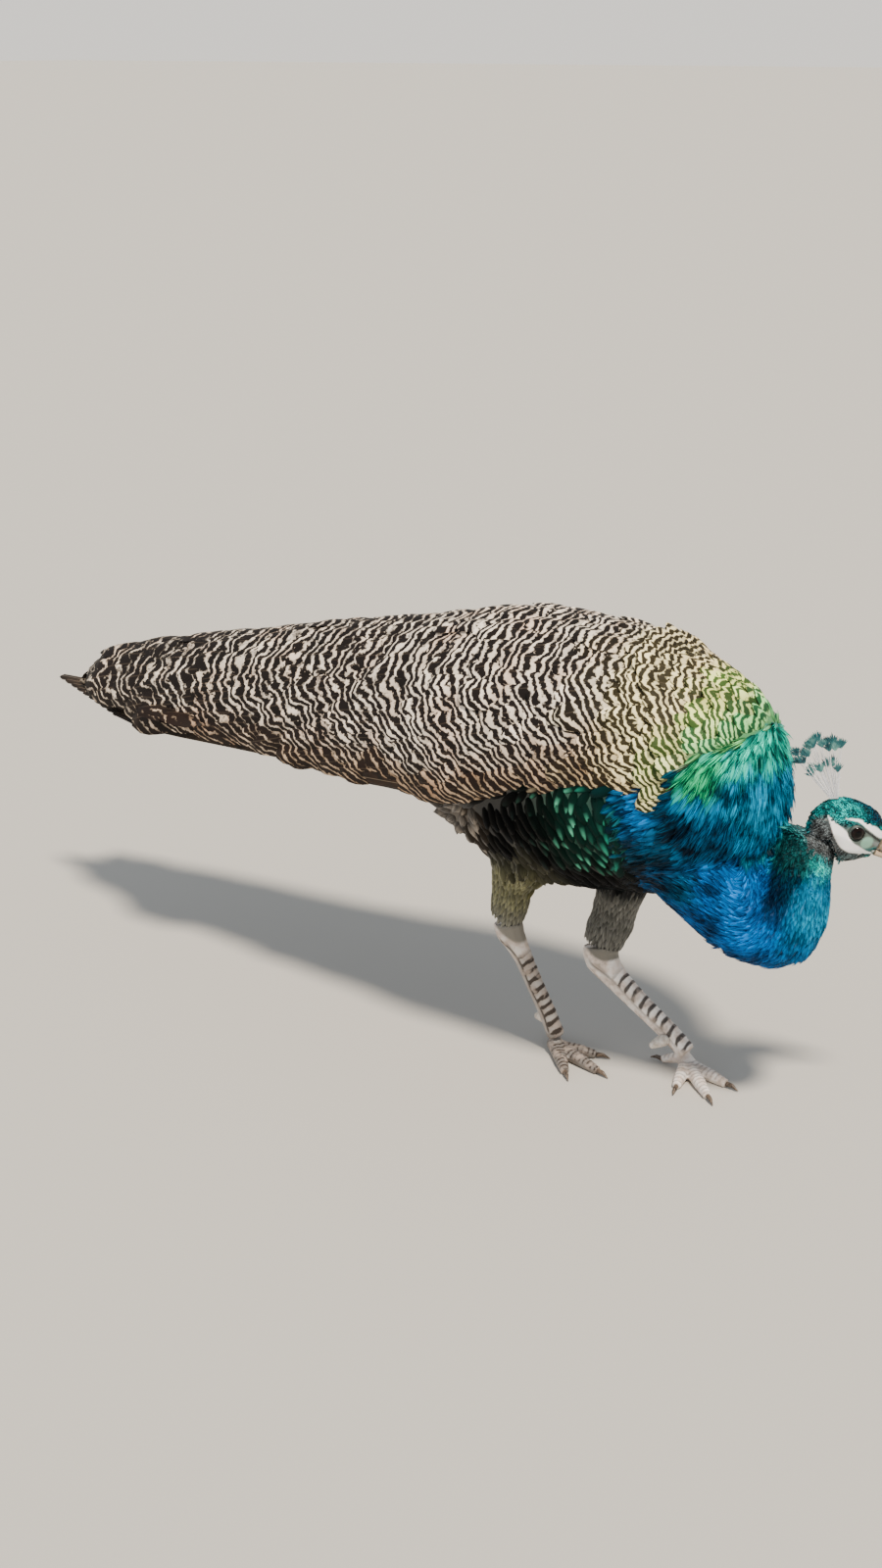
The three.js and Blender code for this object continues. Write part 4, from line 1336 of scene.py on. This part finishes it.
shafts, fans = [], []
for k in range(CREST_COUNT):
    t = k / (CREST_COUNT - 1)
    lean = math.radians(-67 + 42 * t + rng.uniform(-3, 3))
    grown = 0.62 if k % 4 == 1 else rng.uniform(0.9, 1.0)  # every fourth is still short
    tall = CREST_REACH * (0.9 + 0.12 * math.sin(math.pi * t)) * grown
    sideways = (k % 3 - 1) * 0.13 + rng.uniform(-0.04, 0.04)
    heading = unit(np.array([math.sin(lean), sideways, math.cos(lean)]))
    root = np.array([-30 + 6 * t, (k % 3 - 1) * 1.3, 13.5 + 3 * t])
    bend = np.array([-1.5, 0, 0]) * (1 - t)
    elbow = root + heading * tall * 0.5 + bend
    neck_end = root + heading * (tall - 8.5)
    shafts.append(rod(root, elbow, 0.42, 0.36))
    shafts.append(rod(elbow, neck_end, 0.36, 0.3))
    for wisp in range(CREST_WISPS):
        start = root + heading * tall * (0.12 + 0.1 * wisp)
        hand = (-1) ** wisp
        aside = lean + hand * 0.9
        turn = np.array([math.sin(aside), 0.2 * hand, math.cos(aside)])
        shafts.append(rod(start, start + turn * 2.6, 0.16, 0.05))
    flat_way = (math.cos(lean), 0, -math.sin(lean))
    for barb in np.linspace(-1, 1, CREST_BARBS):
        spray = lean + barb * 0.75 + rng.uniform(-0.05, 0.05)
        aim = unit(np.array([math.sin(spray), sideways + rng.uniform(-0.1, 0.1), math.cos(spray)]))
        tip = neck_end + aim * (9.5 - 2.5 * abs(barb) + rng.uniform(-1.2, 1.2))
        broad = (neck_end + 2.2 * tip) / 3.2
        fans.append(rod(neck_end - heading * 0.8, broad, 0.25, 0.5, 0.4, flat_way))
        fans.append(rod(broad, tip, 0.5, 0.12, 0.4, flat_way))
# A bare quill: smooth and whitish, it catches the light as a thin line.
bare_shaft, tree, shader = finish_of("bare whitish quill", 0.45, Base_Color=linear("#e6e6ea"))
# Barbs like those of the neck: a mottled blue green with a low metal shine.
fan_web, tree, shader = finish_of("blue green crest barbs", 0.4, Metallic=0.4)
here = add(tree, "ShaderNodeTexCoord").outputs["Object"]
patch = add(tree, "ShaderNodeTexNoise", {"Vector": here, "Scale": 120.0})
FAN_STOPS = [(0.3, "#16404c"), (0.5, "#2f6c72"), (0.7, "#74aaa4")]
tree.links.new(ramp(tree, patch.outputs["Fac"], FAN_STOPS), shader.inputs["Base Color"])
for name, solids, finish in (("crest_shafts", shafts, bare_shaft), ("crest_fans", fans, fan_web)):
    piece = link(name, gather(name, solids))
    piece.data.materials.append(finish)
    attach(piece, "root")
    if name == "crest_shafts":
        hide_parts("crest")
    print(name, len(piece.data.polygons), "faces")

# %% [markdown]
# ## Legs and feet
# Below the feathered thigh the leg is dry scaly skin over tendon: broad plates across the front of
# the shank and the top of each toe, thin ridges behind. Shank and foot are wrapped as one, then
# the plates are pressed out by their place along the leg's axis.

# %% Leg skin
LEG_AXIS = {
    "left": [(-45, 37, 101), (-40, 35.5, 86), (-23, 33, 71)],
    "right": [(-104, -35, 137), (-101, -34, 124), (-91, -29, 100)],
}
LEG_AXIS["left"] += [(8, 31, 51), (38, 30, 32.5), (57, 28.5, 19)]
LEG_AXIS["right"] += [(-81, -23, 72), (-71, -15.5, 42), (-64, -11, 19)]
LEG_VOXEL = 1.0
CLAW_VOXEL = 0.5
PLATE = 9.6  # mm from plate to plate down the shank
TOE_PLATE = 4.8


def leg_place(side, co):
    """For each point: mm down the shank, how much it faces forward, mm from the ankle, height."""
    p = (co - WALK) / MM
    line = curve(LEG_AXIS[side], 8)
    steps = np.linalg.norm(np.diff(line, axis=0), axis=1)
    run = np.concatenate([[0], np.cumsum(steps)])
    k = np.linalg.norm(p[:, None] - line[None], axis=2).argmin(axis=1)
    axis = unit(np.gradient(line, axis=0))[k]
    away = p - line[k]
    down = run[k] + (away * axis).sum(1)
    away = unit(away - (away * axis).sum(1, keepdims=True) * axis)
    ahead = unit(np.array([1.0, 0, 0]) - axis * axis[:, :1])
    ankle = np.hypot(p[:, 0] - line[-1][0], p[:, 1] - line[-1][1])
    return down, (away * ahead).sum(1), ankle, p[:, 2]


def saw(distance, pitch):
    """0 at each plate's upper edge, 1 at its lower edge."""
    return (distance / pitch) % 1.0


def leg_marks(side, co, no):
    """Where plates, grooves and bars are on one leg: rise in mm, and darkness from 0 to 1."""
    down, facing, ankle, height = leg_place(side, co)
    on_shank = smooth(height, 20, 26)
    hock = 1 - smooth(down, 30, 44)
    slanted = down + 3.0 * facing + 0.9 * np.sin(down / 7.3) + 0.5 * np.sin(down / 2.9 + 7 * facing)
    ahead = smooth(facing, 0.02, 0.25)
    step = saw(slanted, PLATE)
    front_plate = (step - 0.5) * ahead * on_shank * (1 - hock)
    toe = (1 - on_shank) * smooth(no[:, 2], 0.0, 0.4) * smooth(ankle, 6, 10)
    toe_plate = (saw(ankle, TOE_PLATE) - 0.3) * toe
    groove = np.exp(-(((facing + 0.12 + 0.1 * np.sin(down / 9)) / 0.17) ** 2))
    groove = groove * smooth(down, 12, 22) * on_shank
    back_ridge = np.exp(-(((facing + 0.75) / 0.12) ** 2)) * on_shank
    hock_line = np.exp(-(((facing + 0.45 - 0.02 * (down - 20)) / 0.13) ** 2)) * hock * smooth(down, 8, 16)
    rise = 0.75 * front_plate + 0.5 * toe_plate - 0.8 * groove - 0.5 * back_ridge - 0.5 * hock_line
    bar = smooth(step, 0.48, 0.6) * (1 - smooth(step, 0.9, 1.0)) * smooth(facing, -0.2, 0.1) * (1 - hock)
    toe_bar = smooth(saw(ankle, TOE_PLATE), 0.55, 0.8) * toe
    dark = np.maximum(0.95 * bar * on_shank, 0.6 * toe_bar)
    dark = np.maximum(dark, np.maximum(0.5 * groove, 0.75 * hock_line))
    dark = np.maximum(dark, 0.22 * (1 - on_shank))
    # Painted shade: the whole right leg is darker, less so at the hock.
    return rise, np.clip(dark + (0.6 if side == "right" else 0.0) * (1 - 0.5 * hock), 0, 1)


def plates(side):
    """How one leg's skin is moved: plates out, grooves in, a bulb at the hock, the upper end drawn in."""

    def move(co, no):
        down, facing, _, height = leg_place(side, co)
        rise = leg_marks(side, co, no)[0]
        cap = 1 - smooth(down, -7, 5)
        bulb = np.exp(-(((down - 13) / 10) ** 2)) * smooth(-facing, -0.4, 0.6)
        rise = rise * smooth(height, 0.3, 1.6) + 2.0 * bulb - 3.4 * cap - 0.25
        return co + no * rise[:, None] * MM

    return move


# Dry scales: pale pinkish horn, low shine, darker seams, dark plate bars, painted shade on the right leg.
leg_skin, tree, shader = finish_of("dry scaly leg skin", 0.5)
plate_marks_and_shade = add(tree, "ShaderNodeAttribute", attribute_name="plate").outputs["Fac"]
here = add(tree, "ShaderNodeTexCoord").outputs["Object"]
grime = add(tree, "ShaderNodeTexNoise", {"Vector": here, "Scale": 110.0, "Detail": 4.0})
cells = add(tree, "ShaderNodeTexVoronoi", {"Vector": here, "Scale": 520.0})
pale = ramp(tree, grime.outputs["Fac"], [(0.28, "#a89789"), (0.45, "#e6d6ca"), (0.62, "#fff8f1")])
sock = add(tree, "ShaderNodeAttribute", attribute_name="sock").outputs["Fac"]
worn = {0: grime.outputs["Fac"], 1: 4.0, 2: -0.85}
patchy = add(tree, "ShaderNodeMath", worn, operation="MULTIPLY_ADD", use_clamp=True)
marked = add(tree, "ShaderNodeMath", {0: plate_marks_and_shade, 1: patchy.outputs[0]}, operation="MULTIPLY")
scaly = mix_colour(tree, marked.outputs[0], pale, linear("#2a1f17"))
tree.links.new(mix_colour(tree, sock, scaly, linear("#77736a")), shader.inputs["Base Color"])
scaling = {"Strength": 0.35, "Distance": 0.0004, "Height": cells.outputs["Distance"]}
bump = add(tree, "ShaderNodeBump", scaling)
tree.links.new(bump.outputs["Normal"], shader.inputs["Normal"])
for side in LEG_AXIS:
    nodes = ["shank_" + side, "foot_" + side]
    piece = reshape(wrapped("leg_skin_" + side, [welded(nodes)], LEG_VOXEL), plates(side), 5)
    co, no, edges = read(piece.data)
    down, facing = leg_place(side, co)[:2]
    paint(piece.data, "plate", "FLOAT", leg_marks(side, co, no)[1])
    paint(piece.data, "sock", "FLOAT", smooth(13 * facing - (down - 13), 0, 5))
    piece.data.materials.append(leg_skin)
    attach(piece, "root")
    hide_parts(*nodes)
    print(piece.name, len(piece.data.polygons), "faces")

# %% Claws and spurs
# Worn claws: dark brown horn, mottled paler, with a dull shine.
claw_horn, tree, shader = finish_of("worn dark claw horn", 0.4)
here = add(tree, "ShaderNodeTexCoord").outputs["Object"]
grain = add(tree, "ShaderNodeTexNoise", {"Vector": here, "Scale": 420.0, "Detail": 2.0})
CLAW_STOPS = [(0.3, "#2a211a"), (0.7, "#6b5a4a")]
tree.links.new(ramp(tree, grain.outputs["Fac"], CLAW_STOPS), shader.inputs["Base Color"])
# A young bird's spur: a pale blunt knob, waxy rather than shiny.
spur_horn, tree, shader = finish_of("pale blunt spur horn", 0.45)
here = add(tree, "ShaderNodeTexCoord").outputs["Object"]
grain = add(tree, "ShaderNodeTexNoise", {"Vector": here, "Scale": 260.0, "Detail": 2.0})
SPUR_STOPS = [(0.3, "#b3a596"), (0.7, "#e9e2d8")]
tree.links.new(ramp(tree, grain.outputs["Fac"], SPUR_STOPS), shader.inputs["Base Color"])
SPUR_SWELL = 1.7  # mm


def swell(co, no):
    """Makes the spur stouter than its core."""
    return co + no * SPUR_SWELL * MM


for side in LEG_AXIS:
    claws = ["claw_" + side + "_" + toe for toe in ("hind", "inner", "middle", "outer")]
    spurs = ["spur_" + side]
    horns = (("claws_", claws, claw_horn, still), ("spur_horn_", spurs, spur_horn, swell))
    for name, nodes, finish, move in horns:
        piece = reshape(wrapped(name + side, [welded(nodes)], CLAW_VOXEL), move)
        piece.data.materials.append(finish)
        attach(piece, "root")
        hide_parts(*nodes)

# %% [markdown]
# ## The long feathers
# Under the barred coverts lie the real tail feathers, long brown blades that overlap like a closed
# fan, and along the wing's lower edge the rufous flight feathers show. Each is a longer blank of
# the same kind with more rows, placed and stretched by its number in the row.

# %% Tail and flight feathers


def strap(v):
    return min(1.0, 0.25 + 3 * v) * math.sqrt(max(1 - max((v - 0.8) / 0.21, 0) ** 2, 0.0004))


def laid_blades(name, placings, blank_object):
    """Copies of one blank, each with a root, a tip, a width and an outward direction in mm."""
    co = read(blank_object.data)[0]
    faces = [tuple(p.vertices) for p in blank_object.data.polygons]
    maps = np.array([d.uv[:] for d in blank_object.data.uv_layers["vane"].data])
    points, polys, lucks = [], [], []
    for k, (root, tip, wide, outward) in enumerate(placings):
        root, tip, outward = (np.array(v, float) for v in (root, tip, outward))
        along_axis = tip - root
        span = np.linalg.norm(along_axis)
        y_axis = along_axis / span
        x_axis = unit(np.cross(y_axis, outward))
        z_axis = np.cross(x_axis, y_axis)
        grid = co * np.array([wide, span / (1 - ROOT_SHARE), span * 0.35])
        points += list(root + grid @ np.array([x_axis, y_axis, z_axis]))
        polys += [tuple(i + k * len(co) for i in face) for face in faces]
        lucks += [(k * 0.37) % 1] * len(co)
    mesh = new_mesh(name, place(points), polys)
    uv = mesh.uv_layers.new(name="vane")
    uv.data.foreach_set("uv", np.tile(maps, (len(placings), 1)).ravel())
    paint(mesh, "chance", "FLOAT", lucks)
    return link(name, mesh)


def quill_web(name, hex_dark, hex_light, mottle):
    """Vane of a long feather: a web of barbs either side of a horn shaft, mottled across."""

    def pattern(tree, calc, vane):
        here = add(tree, "ShaderNodeTexCoord").outputs["Object"]
        spots = add(tree, "ShaderNodeTexNoise", {"Vector": here, "Scale": 95.0, "Detail": 4.0})
        return calc("MULTIPLY_ADD", spots.outputs["Fac"], mottle, 0.5 - mottle * 0.5, clamp=True)

    flat = (hex_dark, hex_light)
    return plumage(name, pattern, 0.0, 0.55, barbs=60, relief=0.35, shaft=0.8, flat=flat)


BLADE_WIDTH = 21  # mm
long_blank = blank("long_blank", 15, strap, 0.25, 0.02)
TAIL_ROOT, TAIL_TIP = -200.0, -712.0
tail_placings = []
for k in range(9, -1, -1):
    for hand in (1, -1):
        root = (TAIL_ROOT, hand * (3 + 2.4 * k), 268 - 1.5 * k)
        tip = (TAIL_TIP + 12 * k + 2, hand * (2.5 + 3.6 * k), 266 - 1.6 * k)
        tail_placings.append((root, tip, BLADE_WIDTH, (0, hand * 0.12, 1)))
# Long stiff vanes: dark brown, faintly mottled, with a pale shaft.
tail_web = quill_web("dark brown tail feather web", "#0d0907", "#3f3226", 3.0)
tail = laid_blades("tail_blades", tail_placings, long_blank)
tail.data.materials.append(tail_web)
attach(tail, "root")
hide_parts("tail_feathers")
# Flight feathers: a warm red brown, as matt as the tail.
rufous_web = quill_web("rufous flight feather web", "#0f0804", "#3c2413", 3.0)
for side, hand in (("left", 1), ("right", -1)):
    placings = []
    for k in range(7):
        t = k / 6
        root = (-118 - 8 * k, hand * (93 - 0.9 * k), 279 - 1.2 * k)
        tip = (-262 - 9 * k, hand * (86 - 1.8 * k), 267 - 0.6 * k)
        placings.append((root, tip, BLADE_WIDTH, (0, hand, -0.35)))
    piece = laid_blades("flight_blades_" + side, placings, long_blank)
    piece.data.materials.append(rufous_web)
    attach(piece, "root")
    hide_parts("primaries_" + side)
bpy.data.objects.remove(long_blank)

# %% The skin's place in the model
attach(skin, "root")
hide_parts(*FLESH, "head", "tail_coverts")
